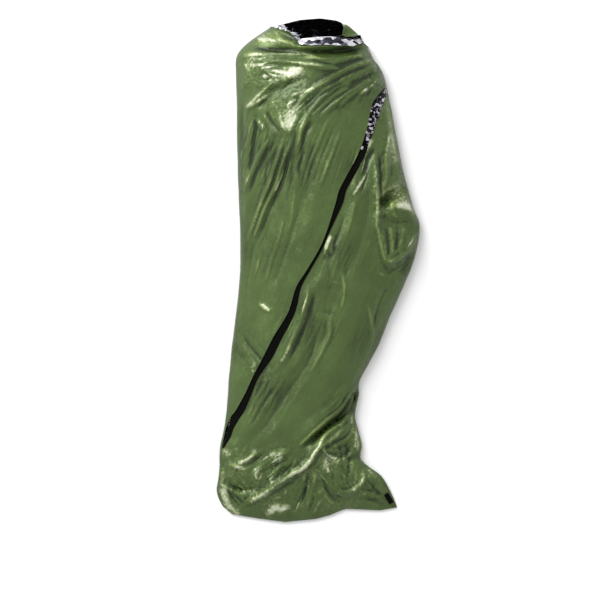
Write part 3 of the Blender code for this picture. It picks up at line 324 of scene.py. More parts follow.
# Painted highlights where the crumpled film gleams: how much, and how wide to each side of a line
GLEAMS = (
    # chest
    Fold(0.65, 0.022, 0.034, ((-0.244, 0.676), (-0.150, 0.642), (-0.040, 0.634))),
    Fold(0.50, 0.014, 0.014, ((-0.205, 0.626), (-0.120, 0.630), (-0.030, 0.642))),
    Fold(0.50, 0.006, 0.006, ((-0.225, 0.692), (-0.150, 0.690), (-0.050, 0.690))),
    Fold(0.45, 0.004, 0.004, ((-0.246, 0.662), (-0.150, 0.652), (-0.035, 0.644))),
    Fold(0.45, 0.004, 0.004, ((-0.225, 0.622), (-0.140, 0.618), (-0.060, 0.630))),
    Fold(0.4, 0.008, 0.008, ((-0.197, 0.616), (-0.145, 0.610), (-0.099, 0.612))),
    Fold(0.62, 0.034, 0.034, ((-0.128, 0.566), (-0.090, 0.516), (-0.106, 0.436))),
    Fold(0.60, 0.020, 0.020, ((-0.008, 0.588), (-0.070, 0.540), (-0.100, 0.470))),
    Fold(0.50, 0.007, 0.006, ((0.000, 0.588), (-0.050, 0.572), (-0.090, 0.556))),
    Fold(0.45, 0.004, 0.004, ((-0.015, 0.560), (-0.062, 0.520), (-0.100, 0.452))),
    Fold(0.45, 0.004, 0.004, ((-0.162, 0.556), (-0.130, 0.510), (-0.112, 0.440))),
    Fold(0.45, 0.008, 0.008, ((-0.085, 0.500), (-0.100, 0.448), (-0.110, 0.405))),
    Fold(1, 0.008, 0.008, ((-0.203, 0.743), (-0.158, 0.739), (-0.112, 0.733))),
    Fold(0.6, 0.005, 0.005, ((-0.262, 0.691), (-0.158, 0.694), (-0.054, 0.694), (0.060, 0.658))),
    Fold(0.7, 0.005, 0.005, ((-0.223, 0.678), (-0.122, 0.674), (-0.028, 0.658), (0.076, 0.648))),
    Fold(0.6, 0.005, 0.005, ((-0.151, 0.606), (-0.197, 0.557), (-0.239, 0.518))),
    Fold(0.5, 0.005, 0.005, ((-0.099, 0.600), (-0.164, 0.561), (-0.232, 0.518))),
    Fold(0.8, 0.005, 0.005, ((-0.193, 0.479), (-0.177, 0.447))),
    Fold(0.4, 0.011, 0.011, ((-0.203, 0.769), (-0.177, 0.759), (-0.151, 0.752))),
    Fold(0.6, 0.004, 0.004, ((-0.148, 0.778), (-0.109, 0.736), (-0.067, 0.723))),
    Fold(0.35, 0.005, 0.005, ((0.177, 0.681), (0.102, 0.642), (0.037, 0.603), (-0.044, 0.538))),
    Fold(0.3, 0.005, 0.005, ((0.180, 0.648), (0.109, 0.603), (0.037, 0.551), (-0.021, 0.492))),
    Fold(0.7, 0.005, 0.005, ((0.197, 0.619), (0.171, 0.593), (0.145, 0.570))),
    # front
    Fold(0.35, 0.005, 0.005, ((-0.034, 0.492), (-0.057, 0.450), (-0.067, 0.388))),
    Fold(0.35, 0.004, 0.004, ((-0.122, 0.405), (-0.154, 0.301), (-0.187, 0.206), (-0.226, 0.096))),
    Fold(0.3, 0.004, 0.004, ((-0.096, 0.395), (-0.122, 0.297), (-0.164, 0.200))),
    Fold(0.3, 0.004, 0.004, ((-0.171, 0.414), (-0.213, 0.333), (-0.242, 0.245))),
    Fold(0.8, 0.004, 0.004, ((-0.187, -0.112), (-0.158, -0.135))),
    Fold(0.7, 0.008, 0.006, ((-0.232, -0.281), (-0.216, -0.314), (-0.210, -0.340))),
    # right panel
    Fold(1.0, 0.007, 0.007, ((0.177, 0.427), (0.145, 0.362), (0.128, 0.304))),
    Fold(0.9, 0.004, 0.004, ((0.151, 0.307), (0.132, 0.271), (0.109, 0.236))),
    Fold(0.45, 0.004, 0.004, ((0.184, 0.372), (0.187, 0.288), (0.190, 0.187), (0.184, 0.125))),
    Fold(0.45, 0.004, 0.004, ((0.232, 0.444), (0.219, 0.372), (0.216, 0.297))),
    Fold(0.4, 0.010, 0.010, ((0.161, 0.356), (0.180, 0.297), (0.171, 0.239))),
    Fold(0.95, 0.010, 0.009, ((0.246, 0.206), (0.296, 0.200), (0.323, 0.176))),
    Fold(0.35, 0.022, 0.016, ((0.228, 0.580), (0.240, 0.450), (0.248, 0.320))),
    Fold(0.3, 0.030, 0.026, ((0.225, 0.275), (0.270, 0.235), (0.300, 0.200))),
    Fold(0.6, 0.004, 0.004, ((0.219, 0.021), (0.271, 0.044), (0.317, 0.119))),
    Fold(0.35, 0.004, 0.004, ((0.200, 0.122), (0.213, 0.076), (0.219, 0.031))),
    Fold(0.45, 0.005, 0.005, ((-0.034, -0.067), (-0.054, -0.151), (-0.073, -0.206), (-0.112, -0.284),
         (-0.154, -0.333))),
    Fold(0.9, 0.007, 0.006, ((0.040, 0.112), (0.024, 0.060))),
    # foot
    Fold(0.22, 0.075, 0.075, ((-0.330, -0.640), (-0.150, -0.700), (0.020, -0.710), (0.180, -0.700))),
    Fold(0.4, 0.020, 0.020, ((-0.328, -0.640), (-0.315, -0.720), (-0.270, -0.780))),
    Fold(0.9, 0.005, 0.005, ((0.099, -0.466), (0.073, -0.499))),
    Fold(0.9, 0.004, 0.004, ((0.109, -0.476), (0.106, -0.505))),
    Fold(1.0, 0.005, 0.004, ((0.040, -0.505), (-0.011, -0.590), (-0.044, -0.639), (-0.096, -0.671),
         (-0.164, -0.717), (-0.210, -0.746), (-0.255, -0.769))),
    Fold(0.3, 0.004, 0.004, ((-0.011, -0.590), (0.057, -0.541), (0.096, -0.502))),
    Fold(0.45, 0.011, 0.011, ((-0.314, -0.583), (-0.284, -0.606))),
    Fold(0.8, 0.005, 0.005, ((-0.200, -0.593), (-0.232, -0.616), (-0.265, -0.632))),
    Fold(0.7, 0.004, 0.004, ((-0.275, -0.639), (-0.236, -0.645))),
    Fold(0.75, 0.022, 0.009, ((-0.086, -0.587), (-0.138, -0.603), (-0.167, -0.629), (-0.200, -0.658),
         (-0.190, -0.707))),
    Fold(0.6, 0.008, 0.008, ((-0.141, -0.639), (-0.154, -0.674), (-0.148, -0.704))),
    Fold(0.70, 0.032, 0.034, ((-0.112, -0.602), (-0.150, -0.636), (-0.176, -0.694))),
    Fold(0.50, 0.018, 0.018, ((0.122, -0.462), (0.126, -0.530), (0.120, -0.600))),
    Fold(0.52, 0.018, 0.018, ((0.026, -0.592), (0.036, -0.640), (0.050, -0.690))),
    Fold(0.7, 0.018, 0.012, ((-0.310, -0.703), (-0.296, -0.759), (-0.250, -0.805))),
    Fold(0.6, 0.006, 0.006, ((-0.320, -0.697), (-0.268, -0.717), (-0.184, -0.713))),
    Fold(0.8, 0.013, 0.009, ((-0.172, -0.806), (-0.141, -0.776), (-0.119, -0.780), (-0.080, -0.758))),
    Fold(0.7, 0.004, 0.004, ((0.037, -0.717), (0.073, -0.726), (0.109, -0.717), (0.141, -0.687),
         (0.148, -0.655))),
    Fold(0.5, 0.005, 0.005, ((0.154, -0.639), (0.193, -0.684), (0.232, -0.739))),
    Fold(0.5, 0.005, 0.005, ((0.011, -0.574), (0.037, -0.606), (0.086, -0.619))),
    Fold(0.5, 0.005, 0.005, ((0.054, -0.661), (0.070, -0.691), (0.060, -0.717))),
    Fold(0.5, 0.005, 0.005, ((-0.050, -0.730), (-0.073, -0.762), (-0.086, -0.795))),
)

# Bundles of fine parallel wrinkles: middle, radius, turn from +X in degrees, height, how far apart they are,
# and how drawn out
WRINKLES = (
    # yoke, chest and shoulder
    Wrinkles((-0.120, 0.690), 0.110, -6, 0.0030, 0.015, 6.0),
    Wrinkles((0.060, 0.670), 0.110, 10, 0.0026, 0.013, 7.0),
    Wrinkles((-0.170, 0.625), 0.100, -8, 0.0030, 0.014, 4.5),
    Wrinkles((-0.085, 0.535), 0.090, 50, 0.0030, 0.014, 4.5),
    Wrinkles((0.110, 0.600), 0.140, 33, 0.0036, 0.013, 8.0),
    Wrinkles((0.010, 0.540), 0.110, 40, 0.0030, 0.014, 7.0),
    # left front
    Wrinkles((-0.160, 0.330), 0.170, 70, 0.0034, 0.014, 9.0),
    Wrinkles((-0.210, 0.440), 0.100, 78, 0.0028, 0.014, 5.0),
    Wrinkles((-0.030, 0.350), 0.160, 66, 0.0022, 0.016, 9.0),
    Wrinkles((-0.200, 0.060), 0.150, 76, 0.0018, 0.017, 7.0),
    Wrinkles((-0.230, -0.270), 0.100, -55, 0.0022, 0.014, 4.0),
    # right panel
    Wrinkles((0.150, 0.330), 0.110, 74, 0.0036, 0.013, 6.0),
    Wrinkles((0.250, 0.100), 0.070, 80, 0.0012, 0.012, 8.0),
    Wrinkles((0.270, 0.020), 0.080, 42, 0.0030, 0.014, 5.0),
    Wrinkles((0.060, 0.050), 0.110, 68, 0.0026, 0.014, 5.0),
    Wrinkles((-0.050, -0.180), 0.140, 64, 0.0032, 0.014, 7.0),
    Wrinkles((-0.160, -0.400), 0.140, 58, 0.0030, 0.014, 7.0),
    Wrinkles((0.130, -0.230), 0.120, 75, 0.0020, 0.018, 7.0),
    # lap above the foot, and the foot
    Wrinkles((0.080, -0.450), 0.110, 48, 0.0034, 0.013, 5.0),
    Wrinkles((0.075, -0.590), 0.080, 75, 0.0024, 0.013, 5.0),
    Wrinkles((-0.150, -0.650), 0.110, 38, 0.0044, 0.015, 2.6),
    Wrinkles((-0.260, -0.730), 0.080, -52, 0.0044, 0.015, 2.6),
    Wrinkles((-0.050, -0.740), 0.090, 62, 0.0046, 0.015, 2.6),
    Wrinkles((0.070, -0.690), 0.090, -64, 0.0046, 0.015, 2.6),
    Wrinkles((0.190, -0.730), 0.080, -30, 0.0032, 0.013, 4.0),
)

# Sizes that the fine film shares with the solids, in metres
FOOT_EDGE_RUN = 0.150       # how far the curves of the foot and of the mouth reach along the bag
MOUTH_EDGE_RUN = 0.110
SIDE_SHARE = 0.20           # height of a section's widest point, as a share of its crown
SIDE_LEAST = 0.0035
CROWN_POWER = 2.2
ROUNDNESS = (0.3, 0.7)      # of a section: where it has no crown, and where its crown is full
FULL_CROWN = 0.070
NORMAL_STEP = 0.004
LAP_DEPTH = 0.0068          # how deep the under layer dips beside the flap's edge
LAP_FADE = (0.026, 0.075)   # from how far to how far from the edge it comes up again
LAP_WIDTH = 0.006           # film that reaches past the tape, under the flap
TAPE_WIDTH = 0.030
TAPE_TOP = 0.5617           # the closure tape's upper end
TAPE_INSET = 0.002          # between the tape's hidden side and the under layer's edge
SLIT_TOP = SLIT[0].y
SLIT_END = SLIT[-1].y
SLIT_CLOSING = 0.075        # lengths over which the opening and the dip beside it close at its end
LAP_CLOSING = 0.045
SLIT_GAP = 0.002
SLIT_TRIES = 8
SEAM_SHARE = 0.012          # least share of the width left of the flap's edge
SIDE_KEPT = 0.012
FOOT_INSET = (0.008, 0.003) # of the inner face at the welded foot, in x and y
SLOPE_STEP = 0.2            # in sections, between the two places that give the slope at the mouth
SLOPE_RANGE = (-0.3, 0.6)
SLOPE_MARGIN = 0.2
FOLD_ENDS = 0.25            # share of a fold's length over which each end fades
FOLD_START = (0.3, 2.3)     # sections between which the folds grow out of the foot
FOLD_LEAST = 0.4            # lowest that the front gets, as a share of its crown
CURVE_STEPS = 6             # fine steps between two rows of a table
TAB_START = Vector((0.2195, -0.729))
TAB_ALONG = Vector((0.50, -0.87)).normalized()
TAB_SIZE = Vector((0.016, 0.036))

# Sizes of the fine film alone
FOLD_MARGIN = 0.05          # share of the width over which folds fade towards each side
FOLD_ROUNDING = 0.14        # how far a main fold's line is rounded, as a share of its width
FOLD_FOOT = 1.7             # where a main fold's flanks end, in its widths
CREASE_ROUNDING = 0.18
CREASE_FOOT = 1.8
FOLD_REACH = 4.0            # how far from its line a fold is looked for, in its widths
FULL_FOLD = 0.020           # height from which a main fold keeps its height
FOLD_SWAY = 0.0025          # how far the folds' lines sway to either side
FOLD_SWAY_LENGTH = 0.080
CRUMPLED_LEAST = 0.22       # how crumpled the film is all over
CRUMPLED_FOOT = 0.9         # and how much more at its foot, up its right panel and in the patches
CRUMPLED_PANEL = 0.5
CRUMPLED_PATCH = 0.7
CRUMPLED_FOOT_Y = (-0.54, -0.62)
CRUMPLED_PANEL_X = (0.15, 0.21)
CRUMPLED_PANEL_Y = (-0.10, 0.0)
CRUMPLED_PATCHES = (
    ((-0.150, 0.640), 0.130),
    ((-0.075, 0.540), 0.110),
    ((0.170, 0.640), 0.090),
    ((-0.180, -0.330), 0.070),
    ((0.270, 0.180), 0.045),
    ((0.235, 0.450), 0.100),
)
CRINKLE_MEAN = 0.3          # of the noise that makes the crinkles
FINER_CRINKLES = (2.7, 0.45)    # how much shorter than the coarse ones, and their height over theirs
WRINKLE_BASE = 0.35         # of the noise that makes the bundles of wrinkles
WRINKLE_WAVE = 3.0          # length of that noise over the wrinkles' spacing
DIRECTIONS = {"level": 0, "slant": 38, "steep": 70, "back_slant": -55}      # of fine wrinkles, in degrees
FULL_WRINKLE = 0.0040       # height of a bundle of wrinkles that shows in full
WRINKLED_LEAST = 0.09       # how strongly the film's steep wrinkles show all over it
GLEAM_ENDS = 0.22
SEEN_MARGIN = 0.03          # share of the width over which the film's drawing fades towards each side
RIDGE_MARGIN = 0.10
SHADE_MARGIN = 0.06
SIDE_SHADE = 0.32           # how far the ridge value falls towards the sides: painted shade there
DEEP_FROM = (0.680, 0.710)  # where the shade inside the mouth begins and is full: the sum of x and y
DEEP_TO = (0.098, 0.113)    # and where it ends, at x
RELIEF_PASSES = 4           # rounds of smoothing against which ridges and valleys are told apart
RELIEF_DEPTH = 0.0011       # height of a full ridge above the smoothed film
SIDE_TURN = 0.035           # share of the width in which a side turns under, as a quarter of an ellipse
SIDE_PIECES = 5
BACK_PANELS = 26
SECTION_STEPS = 20          # fine steps between two sections, and across the foot, for measuring
FOOT_STEPS = 100
EDGE_COLUMNS = (0.0, 0.0015, 0.004, 0.008)      # beside the flap's edge and the under edge
SIDE_COLUMNS = (0.012, 0.007, 0.003, 0.0)       # before each side
EDGE_RUN = 0.2              # most of a row that the columns beside an edge take up, and those before a side
SIDE_RUN = 0.5
ROLL_RINGS = 12
ROLL_STEPS = 40
RIPPLE_HEIGHT = 0.0022      # of the sides' waves, in and out
RIPPLE_LENGTHS = (0.085, 0.034)
BACK_WRINKLE = 0.0035       # most that the back lifts off the floor in its wrinkles
BACK_WRINKLE_LENGTH = 0.060
BACK_WRINKLE_BASE = 0.25
BACK_MARGIN = 0.1           # share of the width over which they fade, and where they fade at foot and mouth
BACK_FOOT_Y = (-0.74, -0.68)
BACK_MOUTH_Y = (0.70, 0.64)
SHARP_ANGLE = math.radians(70.0)

# Slices of the noise, one for each pattern, so that no two are alike
FINER_SLICE = 3.7
SWAY_SLICES = (6.2, 9.8)
BUNDLE_SLICE = 11.3
LEFT_SLICE = 1.3
RIGHT_SLICE = 8.9
BACK_SLICE = 5.1
HEM_SLICE = 2.2

# The strip of film that is turned out beside the flap, from its top to its bottom: how wide it lies
TURNED_HEM = (
    HemRow(0.592, 0.020), HemRow(0.575, 0.030), HemRow(0.545, 0.038), HemRow(0.515, 0.036),
    HemRow(0.480, 0.030), HemRow(0.445, 0.026), HemRow(0.415, 0.022), HemRow(0.385, 0.012),
    HemRow(0.378, 0.006),
)
HEM_TUCK = -0.005           # how far left of the flap's edge it comes out
HEM_COLUMNS = 13
HEM_FINENESS = 1.5          # how much closer its rows lie than the film's
HEM_RAGGED = (0.12, 0.020)  # by what share its width varies, and over what length
HEM_LIFT = (0.0034, 0.0012) # off the film beside the flap, and at its free edge
HEM_CRUMPLE = 0.0045
HEM_FACET = 0.014
TAPE_COLUMNS = 11
TAPE_LIFT = 0.0009
TAPE_FULLNESS = 0.0008      # by which the tape's middle stands above its edges
TAB_COLUMNS = 9
TAB_ROWS = 19
TAB_LIFT = 0.0022
WEB_THICKNESS = 0.0012

# Real sizes of what the materials draw, in metres
FILM_GRAIN = 0.005          # between the film's faintest dents
GRAIN_DEPTH = 0.0012
WRINKLE_SPACING = 0.011     # between fine parallel wrinkles
WRINKLE_SCALE = 0.75        # of the noise that draws them, over that spacing
WRINKLE_STRETCH = 9.0       # length of a fine wrinkle over its width
WRINKLE_DEPTH = 0.009
FACET = 0.016               # across a flat facet of the film
FACET_STRETCH = 2.6         # length of a facet over its width
FACET_DIRECTION = 66        # in which the facets lie, in degrees
CHIP = 0.0065               # across the small facets of crumpled film, and of the hem
LINING_FACET = 0.0115       # across a facet of the lining
LINING_DEPTH = 0.0040
LINING_SQUEEZE = (0.55, 1.0, 1.0)
LOOP_PITCH = 0.0022         # between loops: the real 0.6 mm is too fine to show
NAP_DEPTH = 0.0008

# How strongly the materials draw it
CLOUDS = 9.0                # clouds in the film's green, in a metre
CLOUD_STOPS = (0.35, 0.68)
NAP_STOPS = (0.35, 0.80)
FILM_WARP = (30.0, (0.020, 0.020, 0.020))       # bends of the facets' edges in a metre, and how wide
LINING_WARP = (40.0, (0.020, 0.012, 0.008))
WRINKLE_MEAN = 0.34
WRINKLE_PAINTED_RELIEF = 1.6          # painted highlight and shade that the fine wrinkles add to ridges and valleys
FACET_TILT = (0.05, 0.42)   # of a facet: where the film is smooth, and where it is crumpled
CHIP_TILT = (0.03, 0.38)
GLEAM_EDGE = 3.0            # how quickly a painted gleam sets in at its rim
GLEAM_FILL = 0.45           # how far a painted gleam covers the painted shade of the wrinkles that cross it
GLEAM_CHIPS = 0.36          # how strongly a gleam breaks up into small facets
GLEAM_STREAKS = 3.0         # and into streaks along the fine wrinkles
DEEP_SHADE = 0.90           # how much of the lining's brightness painted shade takes deep in the bag
LINING_PAINTED_BLACK = "040405"     # sRGB hex value of its darkest facets, in painted shade and painted dark reflections
LINING_BRIGHT_FROM = 0.45   # share of the facets of the lining, and of the hem, painted dark as painted reflections
HEM_BRIGHT_FROM = 0.80
LINING_EDGE = 0.12          # half the step from the dark facets to the bright ones

# Painted shade in folds, painted highlight on ridges, painted sheen and gleam: the value at which each
# begins, the one at which it is full, and how much it covers then
FOLD_PAINTED_SHADE = (0.34, -0.1, 0.85)
RIDGE_PAINTED_HIGHLIGHT = (0.62, 1.0, 0.50)
SHEEN_TINT = (0.04, 0.60, 0.62)
GLEAM_TINT = (0.20, 0.95, 0.82)

# Lights and camera
KEY_PLACE = (-2.9, 3.7, 3.5)
KEY_SIZE = 4.0
CAMERA_HEIGHT = 12.0
CAMERA_LENS = 217.0
CAMERA_AIM = (-0.0396, -0.1167)


def smooth(t):
    """Smoothstep between 0 and 1."""
    t = np.clip(t, 0.0, 1.0)
    return t * t * (3.0 - 2.0 * t)


def rising(value, limits):
    """How far a value has come from the first limit, 0, to the second, 1, with a smooth rise."""
    start, end = limits
    return smooth((value - start) / (end - start))


def inside(share, margin):
    """How far a share is from both 0 and 1: from 0 there to 1 past a margin."""
    return smooth(np.minimum(share, 1.0 - share) / margin)


def curve(rows, t):
    """Values at the real indices t of a smooth curve through the rows."""
    rows = np.asarray(rows, float)
    last = len(rows) - 1
    i = np.clip(np.floor(t).astype(int), 0, last - 1)
    f = (t - i)[:, None]
    before, a, b, after = (rows[np.clip(i + k, 0, last)] for k in (-1, 0, 1, 2))
    places = a + (b - a) * (3 * f ** 2 - 2 * f ** 3)
    return places + (b - before) / 2 * (f ** 3 - 2 * f ** 2 + f) + (after - a) / 2 * (f ** 3 - f ** 2)


def fine_curve(rows):
    """A table's smooth curve as a fine chain of points."""
    return curve(rows, np.arange((len(rows) - 1) * CURVE_STEPS + 1) / CURVE_STEPS)


SECTION_TABLE = [(*section.left, *section.right, section.crown) for section in SECTIONS]
SLIT_X, SLIT_Y, TAPE_SHOWS = fine_curve(SLIT)[::-1].T


def sections_at(v):
    """Left x and y, right x and y, and crown height at the real section indices v."""
    return curve(SECTION_TABLE, v).T


def by_x(table, column, x):
    """A column of a table, read between its rows at x."""
    return np.interp(x, [row.x for row in table], [getattr(row, column) for row in table])


def plan(v, share, edge=MOUTH_FRONT):
    """Plan positions at shares of the width, with the curve of the foot and of the mouth's edge."""
    left_x, left_y, right_x, right_y, _ = sections_at(v)
    x = left_x + share * (right_x - left_x)
    y = left_y + share * (right_y - left_y)
    foot, mouth = SECTIONS[0], SECTIONS[-1]
    foot_x = foot.left[0] + share * (foot.right[0] - foot.left[0])
    mouth_x = mouth.left[0] + share * (mouth.right[0] - mouth.left[0])
    mouth_y = mouth.left[1] + share * (mouth.right[1] - mouth.left[1])
    near_foot = 1.0 - smooth(np.abs(y - foot.left[1]) / FOOT_EDGE_RUN)
    near_mouth = 1.0 - smooth(np.abs(y - mouth_y) / MOUTH_EDGE_RUN)
    y = y - by_x(FOOT_EDGE, "reach", foot_x) * near_foot + by_x(edge, "reach", mouth_x) * near_mouth
    return x, y


def frame_shift():
    """The way from the bag's own sections to where the solids lie."""
    share = np.linspace(0.0, 1.0, FOOT_STEPS + 1)
    lowest_x = min(section.left[0] for section in SECTIONS)
    lowest_y = plan(np.zeros(share.shape), share)[1].min()
    return np.array((FILM_LOW.x - lowest_x, FILM_LOW.y - lowest_y, 0.0))


def side_height(crown):
    """Height of a section's widest point."""
    return np.maximum(SIDE_SHARE * crown, SIDE_LEAST)


def crown_height(v, share):
    """Height of the front at a share of the width, without folds."""
    crown = sections_at(v)[4]
    side = side_height(crown)
    bulge = np.maximum(1.0 - np.abs(2.0 * share - 1.0) ** CROWN_POWER, 0.0)
    flat, full = ROUNDNESS
    roundness = flat + (full - flat) * smooth(crown / FULL_CROWN)
    return side + (crown - side) * bulge ** roundness


def soft_profile(distance, rounding=FOLD_ROUNDING, foot=FOLD_FOOT):
    """Height of a fold, at a distance from its line in its own widths: two flat flanks, as film folds."""
    return np.maximum(1.0 - (np.hypot(distance, rounding) - rounding) / foot, 0.0)


def sharp_profile(distance):
    """Height of a fine crease."""
    return soft_profile(distance, CREASE_ROUNDING, CREASE_FOOT)


def round_profile(distance):
    """Strength of a gleam beside its line."""
    return np.exp(-distance ** 2)


def relief(x, y, folds, profile, fading=FOLD_ENDS):
    """Sum of a table's folds at plan points."""
    total = np.zeros(x.shape)
    for fold in folds:
        route = fine_curve(fold.route)
        reach = FOLD_REACH * max(fold.left_width, fold.right_width)
        low, high = route.min(axis=0) - reach, route.max(axis=0) + reach
        near = np.nonzero((x > low[0]) & (x < high[0]) & (y > low[1]) & (y < high[1]))[0]
        if not len(near):
            continue
        a, step = route[:-1], np.diff(route, axis=0)
        offset = np.stack((x[near], y[near]), axis=1)[:, None] - a
        along = np.clip((offset * step).sum(axis=2) / (step ** 2).sum(axis=1), 0.0, 1.0)
        miss = np.linalg.norm(offset - step * along[..., None], axis=2)
        nearest = miss.argmin(axis=1)
        every = np.arange(len(near))
        offset, along, miss = offset[every, nearest], along[every, nearest], miss[every, nearest]
        step = step[nearest]
        cross = step[:, 0] * offset[:, 1] - step[:, 1] * offset[:, 0]
        width = np.where(cross > 0, fold.left_width, fold.right_width)
        ends = inside((nearest + along) / len(a), fading)
        total[near] += fold.height * ends * profile(miss / width)
    return total


def low_folds():
    """The main folds as the thin film shows them: the lower ones flatter than in the solids."""
    return [fold._replace(height=fold.height * min(abs(fold.height) / FULL_FOLD, 1.0)) for fold in FOLDS]


def noise_at(x, y, length, octaves=1, hard=False, level=0.0):
    """Seedless noise from about -1 to 1 at plan points, with waves of a length; a hard one comes to edges."""
    places = (Vector((a / length, b / length, level)) for a, b in zip(x, y))
    return np.array([noise.turbulence(place, octaves, hard) for place in places])


def patch(x, y, centre, radius):
    """A round soft-edged patch: 1 inside, falling to 0 at its radius."""
    return 1.0 - smooth(np.hypot(x - centre[0], y - centre[1]) / radius)


def crumple(x, y):
    """How crumpled the film is at plan points, from 0 where it is drawn smooth to 1."""
    total = CRUMPLED_LEAST + CRUMPLED_FOOT * rising(y, CRUMPLED_FOOT_Y)
    total = total + CRUMPLED_PANEL * rising(x, CRUMPLED_PANEL_X) * rising(y, CRUMPLED_PANEL_Y)
    for centre, radius in CRUMPLED_PATCHES:
        total = total + CRUMPLED_PATCH * patch(x, y, centre, radius)
    return np.clip(total, 0.0, 1.0)


def crinkle(x, y):
    """Height of the film's small random creases at plan points."""
    settings = bpy.context.scene.bag_film
    length = settings.crinkle_length
    shorter, height = FINER_CRINKLES
    coarse = noise_at(x, y, length, 2, hard=True) - CRINKLE_MEAN
    fine = noise_at(x, y, length / shorter, 2, hard=True, level=FINER_SLICE) - CRINKLE_MEAN
    return settings.crinkle_height * crumple(x, y) * (coarse + height * fine)


def wrinkling(x, y):
    """Height of the bundles of fine wrinkles at plan points."""
    total = np.zeros(x.shape)
    for number, bundle in enumerate(WRINKLES):
        amount = patch(x, y, bundle.centre, bundle.radius)
        near = np.nonzero(amount)[0]
        turn = math.radians(bundle.turn)
        along = x[near] * math.cos(turn) + y[near] * math.sin(turn)
        across = y[near] * math.cos(turn) - x[near] * math.sin(turn)
        waves = noise_at(along / bundle.stretch, across, WRINKLE_WAVE * bundle.spacing, 2, hard=True,
                         level=BUNDLE_SLICE * number)
        total[near] += bundle.height * amount[near] * (WRINKLE_BASE - waves)
    return total


def wrinkle_weight(x, y, direction):
    """How strongly plan points are wrinkled along a direction in degrees."""
    total = np.full(x.shape, WRINKLED_LEAST if direction == DIRECTIONS["steep"] else 0.0)
    for bundle in WRINKLES:
        if min(DIRECTIONS.values(), key=lambda turn: abs(turn - bundle.turn)) == direction:
            total = total + bundle.height / FULL_WRINKLE * patch(x, y, bundle.centre, bundle.radius)
    return np.clip(total, 0.0, 1.0)


def front(v, share):
    """Points of the film's outer face on the front, with folds, creases and crinkles."""
    x, y = plan(v, share)
    margin = inside(share, FOLD_MARGIN)
    sway_x, sway_y = (at + FOLD_SWAY * noise_at(x, y, FOLD_SWAY_LENGTH, 2, level=level)
                      for at, level in zip((x, y), SWAY_SLICES))
    folds = relief(sway_x, sway_y, low_folds(), soft_profile) + relief(sway_x, sway_y, CREASES, sharp_profile)
    folds = (folds + crinkle(x, y) + wrinkling(x, y)) * (margin * rising(v, FOLD_START))
    height = np.maximum(crown_height(v, share) + folds, FOLD_LEAST * sections_at(v)[4] * margin)
    return np.stack((x + side_ripple(share, y), y, height), axis=1)


def side_ripple(share, y):
    """How far the sides wave in and out along the bag."""
    amount = 1.0 - inside(share, 2 * FOLD_MARGIN)
    level = np.where(share < 0.5, LEFT_SLICE, RIGHT_SLICE)
    wave = sum(noise_at(y, level, length) * length for length in RIPPLE_LENGTHS) / sum(RIPPLE_LENGTHS)
    return RIPPLE_HEIGHT * amount * wave


def inward(v, share):
    """Unit vectors across the bag's sections at front points, pointing into the bag."""
    a = np.maximum(share - NORMAL_STEP, 0.0)
    b = np.minimum(share + NORMAL_STEP, 1.0)
    left_x, _, right_x, _, _ = sections_at(v)
    run = (right_x - left_x) * (b - a)
    rise = crown_height(v, b) - crown_height(v, a)
    across = np.stack((rise, np.zeros_like(rise), -run), axis=1)
    return across / np.linalg.norm(across, axis=1)[:, None]


def slit_shares(v):
    """Where the flap's edge crosses each section: its share of the width, and its y."""
    left_x, left_y, right_x, right_y, _ = sections_at(v)
    share = np.full(v.shape, 0.5)
    for _ in range(SLIT_TRIES):
        y = left_y + share * (right_y - left_y)
        crossing = np.interp(y, SLIT_Y, SLIT_X)
        share = np.where(y >= SLIT_TOP, 1.0, np.minimum((crossing - left_x) / (right_x - left_x), 1.0))
    share = np.maximum(share, SEAM_SHARE)
    return share, left_y + share * (right_y - left_y)


class Row:
    """A section across the bag, and where the flap's edge and the tape cross it."""

    def __init__(self, v, slit, y):
        self.v = v
        left_x, _, right_x, _, self.crown = sections_at(np.array([v]))[:, 0]
        self.width = right_x - left_x
        self.slit = slit
        self.y = y
        self.open = y > SLIT_END
        from_end = y - SLIT_END
        self.lap = LAP_DEPTH * float(smooth(from_end / LAP_CLOSING))
        self.tape_shows = float(np.interp(y, SLIT_Y, TAPE_SHOWS))
        self.under_edge = 0.0
        if self.open:
            lapping = float(smooth(from_end / SLIT_CLOSING))
            free = min(SIDE_KEPT - slit * self.width, SLIT_GAP)
            edge = max(self.tape_shows - TAPE_WIDTH - LAP_WIDTH, free)
            self.under_edge = edge * lapping + SLIT_GAP * (1.0 - lapping)
        self.tape_hidden = max(self.tape_shows - TAPE_WIDTH, self.under_edge + TAPE_INSET)


def film_rows(pitch):
    """Rows of the film at an even pitch along the bag."""
    last = len(SECTIONS) - 1
    fine = np.linspace(0.0, last, last * SECTION_STEPS + 1)
    along = sections_at(fine)[[1, 3]].mean(axis=0)
    count = round((along[-1] - along[0]) / pitch)
    v = np.interp(np.linspace(along[0], along[-1], count + 1), along, fine)
    return [Row(*values) for values in zip(v, *slit_shares(v))]


def columns(start, total, pitch):
    """Distances from an edge of the film to a side: close beside both, and even between them."""
    run = total - start
    edge = [start + d for d in EDGE_COLUMNS if d < EDGE_RUN * run]
    side = [total - d for d in SIDE_COLUMNS if d < SIDE_RUN * run]
    count = max(1, round((side[0] - edge[-1]) / pitch))
    middle = [edge[-1] + (side[0] - edge[-1]) * i / count for i in range(1, count)]
    return edge + middle + side


def back_profile():
    """Shares of the width and of the side's height, from the left side round the back to the right."""
    turns = [math.radians(90.0 * i / SIDE_PIECES) for i in range(1, SIDE_PIECES + 1)]
    left = [(SIDE_TURN * (1.0 - math.cos(turn)), 1.0 - math.sin(turn)) for turn in turns]
    run = 1.0 - 2.0 * SIDE_TURN
    flat = [(SIDE_TURN + run * i / BACK_PANELS, 0.0) for i in range(1, BACK_PANELS)]
    return left + flat + [(1.0 - share, part) for share, part in reversed(left)]


